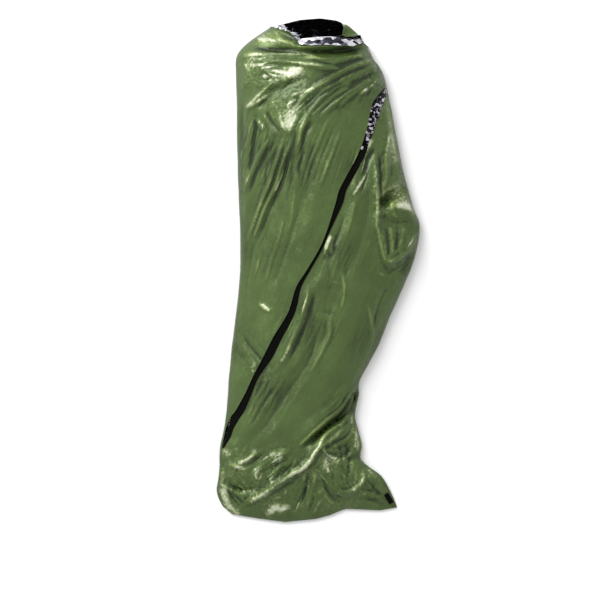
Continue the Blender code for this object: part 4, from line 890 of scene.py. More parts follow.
def zipper(a, b, place_a, place_b):
    """Triangles between two chains of vertices, matched by each vertex's place."""
    faces = []
    i, j = 0, 0
    while i < len(a) - 1 or j < len(b) - 1:
        step_a = j == len(b) - 1 or (i < len(a) - 1 and place_a[i + 1] <= place_b[j + 1])
        if step_a and j < len(b) - 1 and i < len(a) - 1:
            step_a = abs(place_a[i + 1] - place_b[j]) <= abs(place_b[j + 1] - place_a[i])
        if step_a:
            faces.append((a[i], b[j], a[i + 1]))
            i += 1
        else:
            faces.append((a[i], b[j], b[j + 1]))
            j += 1
    return [face for face in faces if len(set(face)) == 3]


def strip_faces(places):
    """Triangles of a strip whose rows have points at the given places along each row."""
    faces, start = [], 0
    for here, there in zip(places, places[1:]):
        middle = start + len(here)
        faces += zipper(range(start, middle), range(middle, middle + len(there)), here, there)
        start = middle
    return faces


def roll_offset(reach, bend, slope, turn, aim):
    """Where a strip gets to after a length, as it turns evenly over its bend and then runs straight."""
    along = (np.arange(ROLL_STEPS) + 0.5) / ROLL_STEPS * reach
    angle = slope + turn * np.minimum(along / bend, 1.0)
    out, up = np.cos(angle).mean() * reach, np.sin(angle).mean() * reach
    return np.array((out * math.sin(aim), out * math.cos(aim), up))


def rim_rings(points, shares, v):
    """Rows of points past the mouth: each column of the last row rolls up and over by its own turn."""
    is_front = ~np.isnan(shares)
    share = np.where(is_front, shares, 0.5)
    here, below = (np.full(share.shape, level) for level in (v, v - SLOPE_STEP))
    rise = crown_height(here, share) - crown_height(below, share)
    slope = np.clip(np.arctan2(rise, plan(here, share)[1] - plan(below, share)[1]), *SLOPE_RANGE)
    slope = np.where(is_front, slope * inside(share, SLOPE_MARGIN), 0.0)
    rings = []
    for ring in range(1, ROLL_RINGS + 1):
        line = []
        for point, on_front, start in zip(points, is_front, slope):
            table = FRONT_ROLL if on_front else BACK_ROLL
            length, bend, turn, aim = (by_x(table, name, point[0]) for name in Roll._fields[1:])
            reach = length * ring / ROLL_RINGS
            line.append(point + roll_offset(reach, bend, start, math.radians(turn), math.radians(aim)))
        rings.append(np.array(line))
    return rings


def repeated(rows, name, counts):
    """A value of each row, once for each of its points."""
    return np.repeat([getattr(row, name) for row in rows], counts)


def by_row(points, counts):
    """Points split into their rows again."""
    return np.split(points, np.cumsum(counts)[:-1])


def flap_points(rows, distances):
    """Points of the front, row by row, at distances left of the flap's edge."""
    counts = [len(line) for line in distances]
    share = repeated(rows, "slit", counts) - np.concatenate(distances) / repeated(rows, "width", counts)
    return by_row(front(repeated(rows, "v", counts), np.clip(share, 0.0, 1.0)), counts)


def under_points(rows, distances, lifts):
    """Points over the under layer, row by row: how far right of the flap's edge, and how far off the film."""
    counts = [len(line) for line in distances]
    distance, lift = np.concatenate(distances), np.concatenate(lifts)
    depth = repeated(rows, "lap", counts) * (1.0 - rising(distance, LAP_FADE))
    share = np.clip(repeated(rows, "slit", counts) + distance / repeated(rows, "width", counts), 0.0, 1.0)
    v = repeated(rows, "v", counts)
    return by_row(front(v, share) + inward(v, share) * (depth - lift)[:, None], counts)


def back_points(rows, profile):
    """Points round the back, row by row, from the left side to the right: flat, with shallow wrinkles."""
    counts = [len(profile)] * len(rows)
    share, part = np.tile(np.transpose(profile), len(rows))
    x, y = plan(repeated(rows, "v", counts), share, MOUTH_BACK)
    side = side_height(repeated(rows, "crown", counts))
    amount = inside(share, BACK_MARGIN) * rising(y, BACK_FOOT_Y) * rising(y, BACK_MOUTH_Y)
    waves = noise_at(x, y, BACK_WRINKLE_LENGTH, 3, hard=True, level=BACK_SLICE)
    z = part * side + BACK_WRINKLE * amount * np.maximum(waves - BACK_WRINKLE_BASE, 0.0)
    return by_row(np.stack((x + side_ripple(share, y), y, z), axis=1), counts)


def film_face(settings):
    """The film's outer face: points, triangles, cap of the foot, count of the foot's points, and shares."""
    rows = film_rows(settings.pitch)
    flap_at = [columns(0.0, row.slit * row.width, settings.pitch) for row in rows]
    under_at = [columns(row.under_edge, (1.0 - row.slit) * row.width, settings.pitch) for row in rows]
    profile = back_profile()
    flaps = flap_points(rows, flap_at)
    unders = under_points(rows, under_at, [np.zeros(len(line)) for line in under_at])
    backs = back_points(rows, profile)
    points, chains, faces, shares = [], [], [], []
    size = 0
    for k, (row, flap, back, under) in enumerate(zip(rows, flaps, backs, unders)):
        shares += [row.slit - d / row.width for d in flap_at[k]] + [math.nan] * len(profile)
        shares += [min(row.slit + d / row.width, 1.0) for d in reversed(under_at[k])]
        points.append(np.concatenate((flap, back, under[::-1])))
        chain = list(range(size, size + len(points[-1])))
        size += len(chain)
        if not row.open:
            chain[-1] = chain[0]
        turn = len(flap) + len(back)
        chains.append((chain[:len(flap)], chain[len(flap):turn], chain[turn:]))
    places = list(range(len(profile) + 2))
    for k, ((flap_a, back_a, under_a), (flap_b, back_b, under_b)) in enumerate(zip(chains, chains[1:])):
        faces += zipper(flap_a, flap_b, flap_at[k], flap_at[k + 1])
        around_a, around_b = [flap_a[-1], *back_a, under_a[0]], [flap_b[-1], *back_b, under_b[0]]
        faces += zipper(around_a, around_b, places, places)
        under = zipper(under_a[::-1], under_b[::-1], under_at[k], under_at[k + 1])
        faces += [face[::-1] for face in under]
    chain = [k for line in chains[-1] for k in line]
    last_shares = shares[-len(chain):]
    order = range(len(chain))
    for ring in rim_rings(points[-1], np.array(last_shares), rows[-1].v):
        shares += last_shares
        points.append(ring)
        above = range(size, size + len(ring))
        size += len(ring)
        faces += zipper(chain, above, order, order)
        chain = above
    flap, back, under = chains[0]
    foot = rows[0]
    front_at = [foot.slit - d / foot.width for d in reversed(flap_at[0])]
    front_at += [foot.slit + d / foot.width for d in under_at[0][1:]]
    back_at = [0.0, *(share for share, _ in profile), 1.0]
    cap = zipper(flap[::-1] + under[::-1][1:], [flap[-1], *back, under[0]], front_at, back_at)
    return np.concatenate(points), faces, cap, len(points[0]), np.array(shares)


def point_normals(points, faces):
    """Unit normals at the points of a mesh."""
    corners = np.array(faces)
    a, b, c = (points[corners[:, k]] for k in range(3))
    face_normals = np.cross(b - a, c - a)
    normals = np.zeros(points.shape)
    for k in range(3):
        np.add.at(normals, corners[:, k], face_normals)
    lengths = np.linalg.norm(normals, axis=1)
    return normals / np.where(lengths > 0, lengths, 1.0)[:, None]


def inner_face(points, normals, thickness, foot_count):
    """The film's inner face, a thickness inside the outer one, and drawn in further at the welded foot."""
    inner = points - normals * thickness
    foot = points[:foot_count]
    share = (foot[:, 0] - foot[:, 0].min()) / np.ptp(foot[:, 0])
    inset_x, inset_y = FOOT_INSET
    inner[:foot_count, 0] = foot[:, 0] + inset_x * (1.0 - 2.0 * share)
    inner[:foot_count, 1] = foot[:, 1] + inset_y
    inner[:foot_count, 2] = np.clip(foot[:, 2], thickness, foot[:, 2].max() - thickness)
    return inner


def ridges(points, faces, normals):
    """How far the points stand out of the smoothed film: from 0 in a valley, over 0.5, to 1 on a ridge."""
    corners = np.array(faces)
    pairs = np.concatenate((corners[:, [0, 1]], corners[:, [1, 2]], corners[:, [2, 0]]))
    pairs = np.concatenate((pairs, pairs[:, ::-1]))
    starts, ends = pairs.T
    counts = np.maximum(np.bincount(starts, minlength=len(points)), 1)[:, None]
    calm = points.copy()
    for _ in range(RELIEF_PASSES):
        around = np.stack([np.bincount(starts, calm[ends, k], len(points)) for k in range(3)], axis=1)
        calm = (calm + around / counts) / 2
    out = ((points - calm) * normals).sum(axis=1)
    return np.clip(0.5 + 0.5 * out / RELIEF_DEPTH, 0.0, 1.0)


def film_values(points, shares, stand_out):
    """What the film's material follows, by name: a value for each point of the outer face."""
    x, y, _ = (points - frame_shift()).T
    on_back = np.isnan(shares)
    # Painted light: the ridge value gives painted highlight on ridges and painted shade in valleys and
    # towards the sides; the mouth's lining gets painted shade deep in the bag; the gleam value marks painted
    # highlights
    side_shade = SIDE_SHADE * (1.0 - inside(shares, SHADE_MARGIN))
    ridge = 0.5 + (stand_out - 0.5) * inside(shares, RIDGE_MARGIN) - side_shade
    painted_deep_shade = rising(points[:, 0] + points[:, 1], DEEP_FROM) * (1.0 - rising(points[:, 0], DEEP_TO))
    seen = np.where(on_back, 0.0, inside(shares, SEEN_MARGIN))
    gleam = np.clip(relief(x, y, GLEAMS, round_profile, fading=GLEAM_ENDS), 0.0, 1.0)
    values = {"crumple": crumple(points[:, 0], points[:, 1]), "ridge": np.where(on_back, 0.5, ridge),
              "painted_deep_shade": np.where(on_back, painted_deep_shade, 0.0), "gleam": gleam * seen}
    for name, direction in DIRECTIONS.items():
        values[name] = wrinkle_weight(x, y, direction) * seen
    return values


def open_edges(faces):
    """Edges that only one face uses, in that face's direction."""
    seen = set()
    for a, b, c in faces:
        seen.update(((a, b), (b, c), (c, a)))
    return sorted((a, b) for a, b in seen if (b, a) not in seen)


def closed_sheet(outer, inner, faces):
    """A thin closed sheet: the outer face, the inner face turned over, and rims round the free edges."""
    size = len(outer)
    turned = [(a + size, c + size, b + size) for a, b, c in faces]
    rims = []
    for a, b in open_edges(faces):
        rims += [(b, a, a + size), (b, a + size, b + size)]
    return np.concatenate((outer, inner)), faces + turned + rims


def closed_band(rows, distances, lifts, thickness):
    """A closed band over the under layer, with its upper faces first, and how many of those there are."""
    low = np.concatenate(under_points(rows, distances, lifts))
    high = np.concatenate(under_points(rows, distances, [lift + thickness for lift in lifts]))
    faces = strip_faces(distances)
    return *closed_sheet(high + frame_shift(), low + frame_shift(), faces), len(faces)


def add_object(name, data):
    """An object of the scene that shows the data."""
    made = bpy.data.objects.new(name, data)
    bpy.context.collection.objects.link(made)
    return made


def make_piece(name, points, faces, materials, indices=None):
    """A piece of its own mesh, in the frame, with its materials."""
    mesh = bpy.data.meshes.new(name)
    mesh.from_pydata(points.tolist(), [], faces)
    for material in materials:
        mesh.materials.append(material)
    if indices is not None:
        mesh.polygons.foreach_set("material_index", indices)
    mesh.shade_smooth()
    mesh.set_sharp_from_angle(angle=SHARP_ANGLE)
    mesh.validate()
    piece = add_object(name, mesh)
    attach(piece, "root")
    return piece


def linear(code):
    """Linear colour of an sRGB hex value."""
    channels = [int(code[i:i + 2], 16) / 255 for i in (0, 2, 4)]
    return tuple(c / 12.92 if c <= 0.04045 else ((c + 0.055) / 1.055) ** 2.4 for c in channels) + (1.0,)


def add_node(tree, kind, settings=None, inputs=None):
    """A node with its settings. An input is a value, a socket, or a node, whose first output feeds it."""
    made = tree.nodes.new("ShaderNode" + kind)
    for name, value in (settings or {}).items():
        setattr(made, name, value)
    for name, value in (inputs or {}).items():
        source = value.outputs[0] if isinstance(value, bpy.types.Node) else value
        if isinstance(source, bpy.types.NodeSocket):
            tree.links.new(source, made.inputs[name])
        else:
            made.inputs[name].default_value = source
    return made


def new_material(name):
    """An empty material, its node tree and its object coordinates."""
    material = bpy.data.materials.new(name)
    material.use_nodes = True
    tree = material.node_tree
    tree.nodes.clear()
    return material, tree, add_node(tree, "TexCoord").outputs["Object"]


def wrinkle_texture(tree, place, name, direction):
    """Long fine wrinkles along a direction, as strong as the film's values of that name."""
    turned = add_node(tree, "Mapping", {"vector_type": "TEXTURE"}, {
        "Vector": place, "Rotation": (0.0, 0.0, math.radians(direction)),
        "Scale": (WRINKLE_STRETCH * WRINKLE_SPACING, WRINKLE_SPACING, WRINKLE_SPACING)})
    waves = add_node(tree, "TexNoise", {"noise_type": "RIDGED_MULTIFRACTAL", "normalize": True},
                     {"Vector": turned, "Scale": WRINKLE_SCALE, "Detail": 2.0, "Roughness": 0.65})
    weight = add_node(tree, "Attribute", {"attribute_name": name}).outputs["Fac"]
    level = add_node(tree, "Math", {"operation": "SUBTRACT"}, {0: waves, 1: WRINKLE_MEAN})
    return add_node(tree, "Math", {"operation": "MULTIPLY"}, {0: weight, 1: level})


def warped(tree, place, warp):
    """Places that wander, so that the facets drawn there get crooked edges."""
    bends, width = warp
    waves = add_node(tree, "TexNoise", inputs={"Vector": place, "Scale": bends, "Detail": 2.0})
    return add_node(tree, "VectorMath", {"operation": "MULTIPLY_ADD"},
                    {0: waves.outputs["Color"], 1: width, 2: place})


def tilted(tree, normal, chance, amount, tilt):
    """A normal that leans by a random colour, from the first tilt where the film is smooth to the second."""
    least, most = tilt
    lean = add_node(tree, "Math", {"operation": "MULTIPLY_ADD"}, {0: amount, 1: most - least, 2: least})
    aside = add_node(tree, "VectorMath", {"operation": "SUBTRACT"}, {0: chance, 1: (0.5, 0.5, 0.5)})
    scaled = add_node(tree, "VectorMath", {"operation": "SCALE"}, {0: aside, "Scale": lean})
    summed = add_node(tree, "VectorMath", {"operation": "ADD"}, {0: normal, 1: scaled})
    return add_node(tree, "VectorMath", {"operation": "NORMALIZE"}, {0: summed})


def film_colour(tree, clouds, height, chance):
    """The film's green in its clouds, with painted shade and highlight by how high it stands, and painted
    gleams.
    """
    settings = bpy.context.scene.bag_film
    # The ridge value drives painted highlight and painted shade; the gleam value drives painted highlights
    ridge, gleam = (add_node(tree, "Attribute", {"attribute_name": name}).outputs["Fac"]
                    for name in ("ridge", "gleam"))
    raised = add_node(tree, "Math", {"operation": "MULTIPLY_ADD"}, {0: height, 1: WRINKLE_PAINTED_RELIEF, 2: ridge})
    near = add_node(tree, "Math", {"operation": "MULTIPLY", "use_clamp": True}, {0: gleam, 1: GLEAM_EDGE})
    filled = add_node(tree, "Math", {"operation": "MULTIPLY_ADD"}, {0: near, 1: GLEAM_FILL, 2: raised})
    streaks = add_node(tree, "Math", {"operation": "MULTIPLY_ADD"},
                       {0: height, 1: GLEAM_STREAKS, 2: -GLEAM_CHIPS / 2.0})
    broken = add_node(tree, "Math", {"operation": "MULTIPLY_ADD"}, {0: chance, 1: GLEAM_CHIPS, 2: streaks})
    lit = add_node(tree, "Math", {"operation": "MULTIPLY_ADD"}, {0: broken, 1: near, 2: gleam})

    tint = add_node(tree, "ValToRGB", inputs={"Fac": clouds})
    codes = settings.shade_colour, settings.film_colour
    for stop, position, code in zip(tint.color_ramp.elements, CLOUD_STOPS, codes):
        stop.position = position
        stop.color = linear(code)
    colour = tint.outputs["Color"]
    # Laid over the green: painted shade in the folds, painted highlight on the ridges, painted sheen and
    # painted gleam
    for value, (start, full, most), code in (
            (filled, FOLD_PAINTED_SHADE, settings.fold_painted_shade_colour), (raised, RIDGE_PAINTED_HIGHLIGHT, settings.ridge_painted_highlight_colour),
            (lit, SHEEN_TINT, settings.sheen_colour), (lit, GLEAM_TINT, settings.gleam_colour)):
        cover = add_node(tree, "MapRange", inputs={"Value": value, "From Min": start, "From Max": full,
                                                   "To Min": 0.0, "To Max": most})
        colour = add_node(tree, "Mix", {"data_type": "RGBA"},
                          {"Factor": cover, "A": colour, "B": linear(code)}).outputs["Result"]
    return colour


def metallised_film():
    """Olive polyethylene film over vacuum-metallised aluminium.

    The coloured plastic gives a satin green body, and its glossy skin adds broken, pale reflections. Painted
    light is laid into the colour: a painted yellow-green highlight along a ridge, painted shade nearly black
    down in a fold, and painted pale gleams on crumpled patches.
    """
    material, tree, place = new_material("olive metallised polyethylene film")
    amount = add_node(tree, "Attribute", {"attribute_name": "crumple"}).outputs["Fac"]
    height = 0.0
    for name, direction in DIRECTIONS.items():
        waves = wrinkle_texture(tree, place, name, direction)
        height = add_node(tree, "Math", {"operation": "ADD"}, {0: height, 1: waves})
    bent = warped(tree, place, FILM_WARP)
    turned = add_node(tree, "Mapping", {"vector_type": "TEXTURE"}, {
        "Vector": bent, "Rotation": (0.0, 0.0, math.radians(FACET_DIRECTION)),
        "Scale": (FACET_STRETCH * FACET, FACET, FACET)})
    facets = add_node(tree, "TexVoronoi", {"feature": "F1"}, {"Vector": turned, "Scale": 1.0})
    chips = add_node(tree, "TexVoronoi", {"feature": "F1"}, {"Vector": bent, "Scale": 1.0 / CHIP})
    chance = add_node(tree, "SeparateColor", inputs={"Color": chips.outputs["Color"]}).outputs["Blue"]
    clouds = add_node(tree, "TexNoise", inputs={"Vector": place, "Scale": CLOUDS, "Detail": 3.0})
    grain = add_node(tree, "TexNoise", inputs={"Vector": place, "Scale": 1.0 / FILM_GRAIN, "Detail": 1.0})
    grain_bump = add_node(tree, "Bump", inputs={"Strength": 0.40, "Distance": GRAIN_DEPTH, "Height": grain})
    normal = add_node(tree, "Bump", inputs={"Strength": 0.9, "Distance": WRINKLE_DEPTH, "Height": height,
                                            "Normal": grain_bump})
    for pattern, tilt in ((facets, FACET_TILT), (chips, CHIP_TILT)):
        normal = tilted(tree, normal, pattern.outputs["Color"], amount, tilt)
    gloss = add_node(tree, "MapRange", inputs={"Value": clouds, "From Min": 0.3, "From Max": 0.7,
                                               "To Min": 0.34, "To Max": 0.44})
    colour = film_colour(tree, clouds, height, chance)
    shader = add_node(tree, "BsdfPrincipled", inputs={
        "Base Color": colour, "Metallic": 0.30, "Roughness": gloss, "IOR": 1.51, "Specular IOR Level": 0.25,
        "Coat Weight": 0.25, "Coat Roughness": 0.20, "Coat IOR": 1.5, "Normal": normal})
    add_node(tree, "OutputMaterial", inputs={"Surface": shader})
    return material


def aluminised_lining(name, dark, light, bright_from, facet):
    """The film's bare vacuum-metallised side: a mirror crumpled into small facets, bright aluminium beside
    facets painted dark as painted reflections.

    Deep in the bag painted shade darkens it towards black, with thin bright lines along its creases.
    """
    material, tree, place = new_material(name)
    bent = warped(tree, place, LINING_WARP)
    drawn = add_node(tree, "Mapping", inputs={"Vector": bent, "Scale": LINING_SQUEEZE})
    pattern = {"Vector": drawn, "Scale": 1.0 / facet}
    facets, edges = (add_node(tree, "TexVoronoi", {"feature": feature}, pattern)
                     for feature in ("F1", "DISTANCE_TO_EDGE"))
    tone = add_node(tree, "SeparateColor", inputs={"Color": facets.outputs["Color"]})
    painted_deep_shade = add_node(tree, "Attribute", {"attribute_name": "painted_deep_shade"}).outputs["Fac"]
    # Painted shade deep in the bag takes the facets towards black
    shaded = add_node(tree, "Math", {"operation": "MULTIPLY_ADD"}, {0: painted_deep_shade, 1: -DEEP_SHADE, 2: tone})
    # Dark facets are painted dark reflections; bright ones are the aluminium's own colour
    ramp = add_node(tree, "ValToRGB", inputs={"Fac": shaded})
    ramp.color_ramp.elements.new(0.5)
    stops = 0.0, bright_from - LINING_EDGE, bright_from + LINING_EDGE
    for stop, position, code in zip(ramp.color_ramp.elements, stops, (LINING_PAINTED_BLACK, dark, light)):
        stop.position = position
        stop.color = linear(code)
    bump = add_node(tree, "Bump", inputs={"Strength": 0.9, "Distance": LINING_DEPTH, "Height": edges})
    shader = add_node(tree, "BsdfPrincipled", inputs={
        "Base Color": ramp, "Metallic": 1.0, "Roughness": 0.25, "Normal": bump})
    add_node(tree, "OutputMaterial", inputs={"Surface": shader})
    return material


def hook_and_loop():
    """Black nylon hook-and-loop tape: a woven band with a dull nap of fine loops, in rows across it."""
    settings = bpy.context.scene.bag_tape
    material, tree, place = new_material("black nylon hook-and-loop tape")
    nap = add_node(tree, "TexNoise", inputs={"Vector": place, "Scale": 1.0 / LOOP_PITCH, "Detail": 3.0})
    rows = add_node(tree, "TexWave", {"wave_type": "BANDS", "bands_direction": "DIAGONAL"},
                    {"Vector": place, "Scale": 1.0 / (3 * LOOP_PITCH), "Distortion": 2.0, "Detail": 1.0})
    height = add_node(tree, "Math", {"operation": "ADD"}, {0: nap, 1: rows.outputs["Fac"]})
    bump = add_node(tree, "Bump", inputs={"Strength": 0.7, "Distance": NAP_DEPTH, "Height": height})
    tint = add_node(tree, "ValToRGB", inputs={"Fac": nap})
    codes = settings.colour, settings.nap_colour
    for stop, position, code in zip(tint.color_ramp.elements, NAP_STOPS, codes):
        stop.position = position
        stop.color = linear(code)
    shader = add_node(tree, "BsdfPrincipled", inputs={
        "Base Color": tint, "Roughness": 0.95, "IOR": 1.53, "Specular IOR Level": 0.05, "Normal": bump})
    add_node(tree, "OutputMaterial", inputs={"Surface": shader})
    return material


def matt_floor():
    """Matt white studio floor: an even pale ground that only takes a soft shadow."""
    material, tree, _ = new_material("matt white studio floor")
    shader = add_node(tree, "BsdfPrincipled", inputs={
        "Base Color": linear(bpy.context.scene.bag_stage.floor_colour), "Roughness": 0.95,
        "Specular IOR Level": 0.1})
    add_node(tree, "OutputMaterial", inputs={"Surface": shader})
    return material


def studio_sky(settings):
    """A soft white surround, bright towards the key light and dim on the far side."""
    world = bpy.data.worlds.new("studio")
    world.use_nodes = True
    tree = world.node_tree
    towards = add_node(tree, "VectorMath", {"operation": "DOT_PRODUCT"}, {
        0: add_node(tree, "TexCoord").outputs["Generated"], 1: Vector(KEY_PLACE).normalized()})
    strength = add_node(tree, "MapRange", inputs={
        "Value": towards.outputs["Value"], "From Min": -0.2, "From Max": 1.0,
        "To Min": settings.sky_least, "To Max": settings.sky_most})
    background = tree.nodes["Background"]
    background.inputs["Color"].default_value = (1.0, 1.0, 1.0, 1.0)
    tree.links.new(strength.outputs["Result"], background.inputs["Strength"])
    return world


def hex_colour(name, description, default):
    """A setting that holds a colour as an sRGB hex value."""
    return bpy.props.StringProperty(name=name, description=description + ", as an sRGB hex value",
                                    default=default)


class BagFilmSettings(bpy.types.PropertyGroup):
    """Sizes and colours of the film"""

    thickness: bpy.props.FloatProperty(
        name="Thickness", description="Thickness at which the film is drawn, with its lining",
        default=0.0008, min=0.0002, max=0.002, unit="LENGTH")
    pitch: bpy.props.FloatProperty(
        name="Mesh Pitch", description="Distance between neighbouring points of the film",
        default=0.0048, min=0.004, max=0.03, unit="LENGTH")
    crinkle_height: bpy.props.FloatProperty(
        name="Crinkle Height", description="Height of the random creases where the film is most crumpled",
        default=0.0026, min=0.0, max=0.01, unit="LENGTH")
    crinkle_length: bpy.props.FloatProperty(
        name="Crinkle Length", description="Distance between the random creases",
        default=0.034, min=0.01, max=0.2, unit="LENGTH")
    film_colour: hex_colour("Film Colour", "Main green of the outer face", "4c6030")
    shade_colour: hex_colour("Deeper Film Colour", "Deeper green in its clouds", "43552a")
    # Painted light: painted shade in the folds, painted highlights along the ridges, at a gleam's rim and in
    # the gleams
    fold_painted_shade_colour: hex_colour("Fold Colour", "Green down in the folds", "1a220d")
    ridge_painted_highlight_colour: hex_colour("Ridge Colour", "Yellow-green along the ridges", "93a45c")
    sheen_colour: hex_colour("Sheen Colour", "Yellow-green at the rim of a gleam", "a3b078")
    gleam_colour: hex_colour("Gleam Colour", "Pale green of the brightest gleams", "d3d6c3")
    lining_colour: hex_colour("Lining Colour", "Bright aluminium of the lining", "d3d1d8")
    # The lining's dark facets are painted dark reflections
    lining_painted_dark_reflection: hex_colour("Lining Shade", "Dark facets of the lining", "5b5e6a")
    hem_colour: hex_colour("Hem Colour", "Bright facets of the turned-out hem", "c4c0cd")
    # The hem's dark facets are painted dark reflections
    hem_painted_dark_reflection: hex_colour("Hem Shade", "Dark facets of the turned-out hem", "0c0c0e")


class BagTapeSettings(bpy.types.PropertyGroup):
    """Colours of the hook-and-loop tape"""

    colour: hex_colour("Tape Colour", "Base of the tape", "060605")
    nap_colour: hex_colour("Nap Colour", "Tips of the tape's loops", "10100f")


class BagStageSettings(bpy.types.PropertyGroup):
    """Floor and lights"""

    floor_colour: hex_colour("Floor Colour", "Colour of the floor", "f6f6f6")
    floor_size: bpy.props.FloatProperty(
        name="Floor Size", description="Side of the square floor", default=14.0, min=2.0, unit="LENGTH")
    key_power: bpy.props.FloatProperty(
        name="Key Light", description="Power of the large light at the upper left, in watts", default=345.0,
        min=0.0)
    sky_least: bpy.props.FloatProperty(
        name="Least Sky", description="Strength of the surround on its dim side", default=0.72, min=0.0)
    sky_most: bpy.props.FloatProperty(
        name="Most Sky", description="Strength of the surround towards the key light", default=0.95, min=0.0)


class BAG_OT_film(bpy.types.Operator):
    """Build the film of the bag: one closed thin sheet, green outside and aluminium inside"""

    bl_idname = "bag.film"
    bl_label = "Film"

    def execute(self, context):
        settings = context.scene.bag_film
        points, faces, cap, foot_count, shares = film_face(settings)
        points = points + frame_shift()
        normals = point_normals(points, faces)
        inner = inner_face(points, normals, settings.thickness, foot_count)
        sheet, triangles = closed_sheet(points, inner, faces + cap)
        count = len(faces) + len(cap)
        indices = [0] * count + [1] * count + [0] * (len(triangles) - 2 * count)
        lining = aluminised_lining("vacuum-metallised aluminium lining", settings.lining_painted_dark_reflection,
                                   settings.lining_colour, LINING_BRIGHT_FROM, LINING_FACET)
        film = make_piece("film", sheet, triangles, [metallised_film(), lining], indices)
        for name, values in film_values(points, shares, ridges(points, faces, normals)).items():
            film.data.attributes.new(name, "FLOAT", "POINT").data.foreach_set("value", np.tile(values, 2))
        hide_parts("bag_film")
        return {"FINISHED"}


class BAG_OT_closure_tape(bpy.types.Operator):
    """Lay the hook-and-loop tape along the under layer's edge"""

    bl_idname = "bag.closure_tape"
    bl_label = "Closure Tape"

    def execute(self, context):
        rows = [row for row in film_rows(context.scene.bag_film.pitch) if row.open and row.y < TAPE_TOP]
        across = np.linspace(0.0, 1.0, TAPE_COLUMNS)
        at = [row.tape_hidden + (row.tape_shows - row.tape_hidden) * across for row in rows]
        lift = TAPE_LIFT + TAPE_FULLNESS * np.sin(across * math.pi)
        points, triangles, _ = closed_band(rows, at, [lift] * len(rows), WEB_THICKNESS)
        tape = make_piece("hook_and_loop_tape", points, triangles, [hook_and_loop()])
        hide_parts("closure_tape")
        return {"FINISHED"}


class BAG_OT_turned_hem(bpy.types.Operator):
    """Crumple the strip of film that is turned out beside the flap, with its aluminium side up"""

    bl_idname = "bag.turned_hem"
    bl_label = "Turned-Out Hem"

    def execute(self, context):
        settings = context.scene.bag_film
        top, bottom = TURNED_HEM[0].y, TURNED_HEM[-1].y
        rows = [row for row in film_rows(settings.pitch / HEM_FINENESS) if bottom <= row.y <= top]
        y = np.array([row.y for row in rows])
        hem_y, hem_width = np.transpose(TURNED_HEM[::-1])
        part, length = HEM_RAGGED
        widths = np.interp(y, hem_y, hem_width) * (1.0 + part * noise_at(y, np.zeros(y.shape), length))
        across = np.linspace(0.0, 1.0, HEM_COLUMNS)
        at = [HEM_TUCK + (width - HEM_TUCK) * across for width in widths]
        inner_lift, outer_lift = HEM_LIFT
        lifts = []
        for row, line in zip(rows, at):
            folds = noise_at(line, np.full(line.shape, row.y), HEM_FACET, 2, hard=True, level=HEM_SLICE)
            lifts.append(inner_lift + (outer_lift - inner_lift) * across
                         + HEM_CRUMPLE * folds * np.sin(across * math.pi) ** 0.5)
        points, triangles, count = closed_band(rows, at, lifts, settings.thickness)
        indices = [0] * count + [1] * (len(triangles) - count)
        foil = aluminised_lining("crumpled aluminium hem", settings.hem_painted_dark_reflection, settings.hem_colour,
                                 HEM_BRIGHT_FROM, CHIP)
        hem = make_piece("turned_out_hem", points, triangles, [foil, metallised_film()], indices)
        return {"FINISHED"}


class BAG_OT_foot_tab(bpy.types.Operator):
    """Fix the tape's loose end on the right corner of the foot"""

    bl_idname = "bag.foot_tab"
    bl_label = "Foot Tab"

    def execute(self, context):
        film = bpy.data.objects["film"]
        aside = Vector((TAB_ALONG.y, -TAB_ALONG.x))
        shift = Vector(frame_shift())
        hits = []
        for i in range(TAB_ROWS):
            for j in range(TAB_COLUMNS):
                along, across = i / (TAB_ROWS - 1), j / (TAB_COLUMNS - 1) - 0.5
                place = TAB_START + TAB_ALONG * TAB_SIZE.y * along + aside * TAB_SIZE.x * across
                start = place.to_3d() + shift + Vector((0.0, 0.0, 1.0))
                found, hit, _, _ = film.ray_cast(start, Vector((0.0, 0.0, -1.0)))
                if not found:
                    raise RuntimeError("the foot tab reaches past the film")
                hits.append(hit)
        high = np.array(hits) + (0.0, 0.0, TAB_LIFT)
        faces = strip_faces([range(TAB_COLUMNS)] * TAB_ROWS)
        points, triangles = closed_sheet(high, high - (0.0, 0.0, WEB_THICKNESS), faces)
        tab = make_piece("tape_tab", points, triangles, [hook_and_loop()])
        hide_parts("foot_tab")
        return {"FINISHED"}


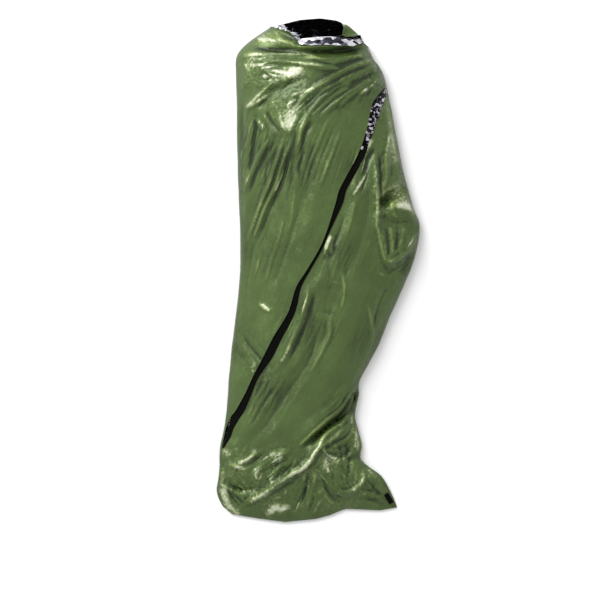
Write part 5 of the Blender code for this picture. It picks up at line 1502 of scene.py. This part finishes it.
class BAG_OT_stage(bpy.types.Operator):
    """Set the floor, the lights and the camera, which looks straight down on the bag"""

    bl_idname = "bag.stage"
    bl_label = "Stage"

    def execute(self, context):
        settings = context.scene.bag_stage
        half = settings.floor_size / 2
        mesh = bpy.data.meshes.new("floor")
        mesh.from_pydata([(-half, -half, 0), (half, -half, 0), (half, half, 0), (-half, half, 0)], [],
                         [(0, 1, 2, 3)])
        mesh.materials.append(matt_floor())
        floor = add_object("floor", mesh)
        light = bpy.data.lights.new("key light", "AREA")
        light.size = KEY_SIZE
        light.energy = settings.key_power
        key = add_object("key light", light)
        key.location = KEY_PLACE
        key.rotation_euler = (-key.location).to_track_quat("-Z", "Y").to_euler()
        context.scene.world = studio_sky(settings)
        context.scene.view_settings.view_transform = "Standard"     # keeps the floor white and the film green
        view = bpy.data.cameras.new("camera")
        view.lens = CAMERA_LENS
        camera = add_object("camera", view)
        camera.location = (*CAMERA_AIM, CAMERA_HEIGHT)
        context.scene.camera = camera
        return {"FINISHED"}


class BAG_PT_panel(bpy.types.Panel):
    """Lists the bag's pieces and settings"""

    bl_label = "Emergency Sleeping Bag"
    bl_space_type = "VIEW_3D"
    bl_region_type = "UI"
    bl_category = "Sleeping Bag"

    def draw(self, context):
        for name, group in GROUPS.items():
            box = self.layout.box()
            for setting in group.__annotations__:
                box.prop(getattr(context.scene, name), setting)
        for operator in OPERATORS:
            self.layout.operator(operator.bl_idname)


OPERATORS = (BAG_OT_film, BAG_OT_closure_tape, BAG_OT_turned_hem, BAG_OT_foot_tab, BAG_OT_stage)
GROUPS = {"bag_film": BagFilmSettings, "bag_tape": BagTapeSettings, "bag_stage": BagStageSettings}


def register():
    for name, group in GROUPS.items():
        bpy.utils.register_class(group)
        setattr(bpy.types.Scene, name, bpy.props.PointerProperty(type=group))
    for item in (*OPERATORS, BAG_PT_panel):
        bpy.utils.register_class(item)


def unregister():
    for item in (BAG_PT_panel, *reversed(OPERATORS)):
        bpy.utils.unregister_class(item)
    for name, group in GROUPS.items():
        delattr(bpy.types.Scene, name)
        bpy.utils.unregister_class(group)


def main():
    register()
    bpy.ops.bag.film()
    bpy.ops.bag.closure_tape()
    bpy.ops.bag.turned_hem()
    bpy.ops.bag.foot_tab()
    bpy.ops.bag.stage()


if __name__ == "__main__":
    main()
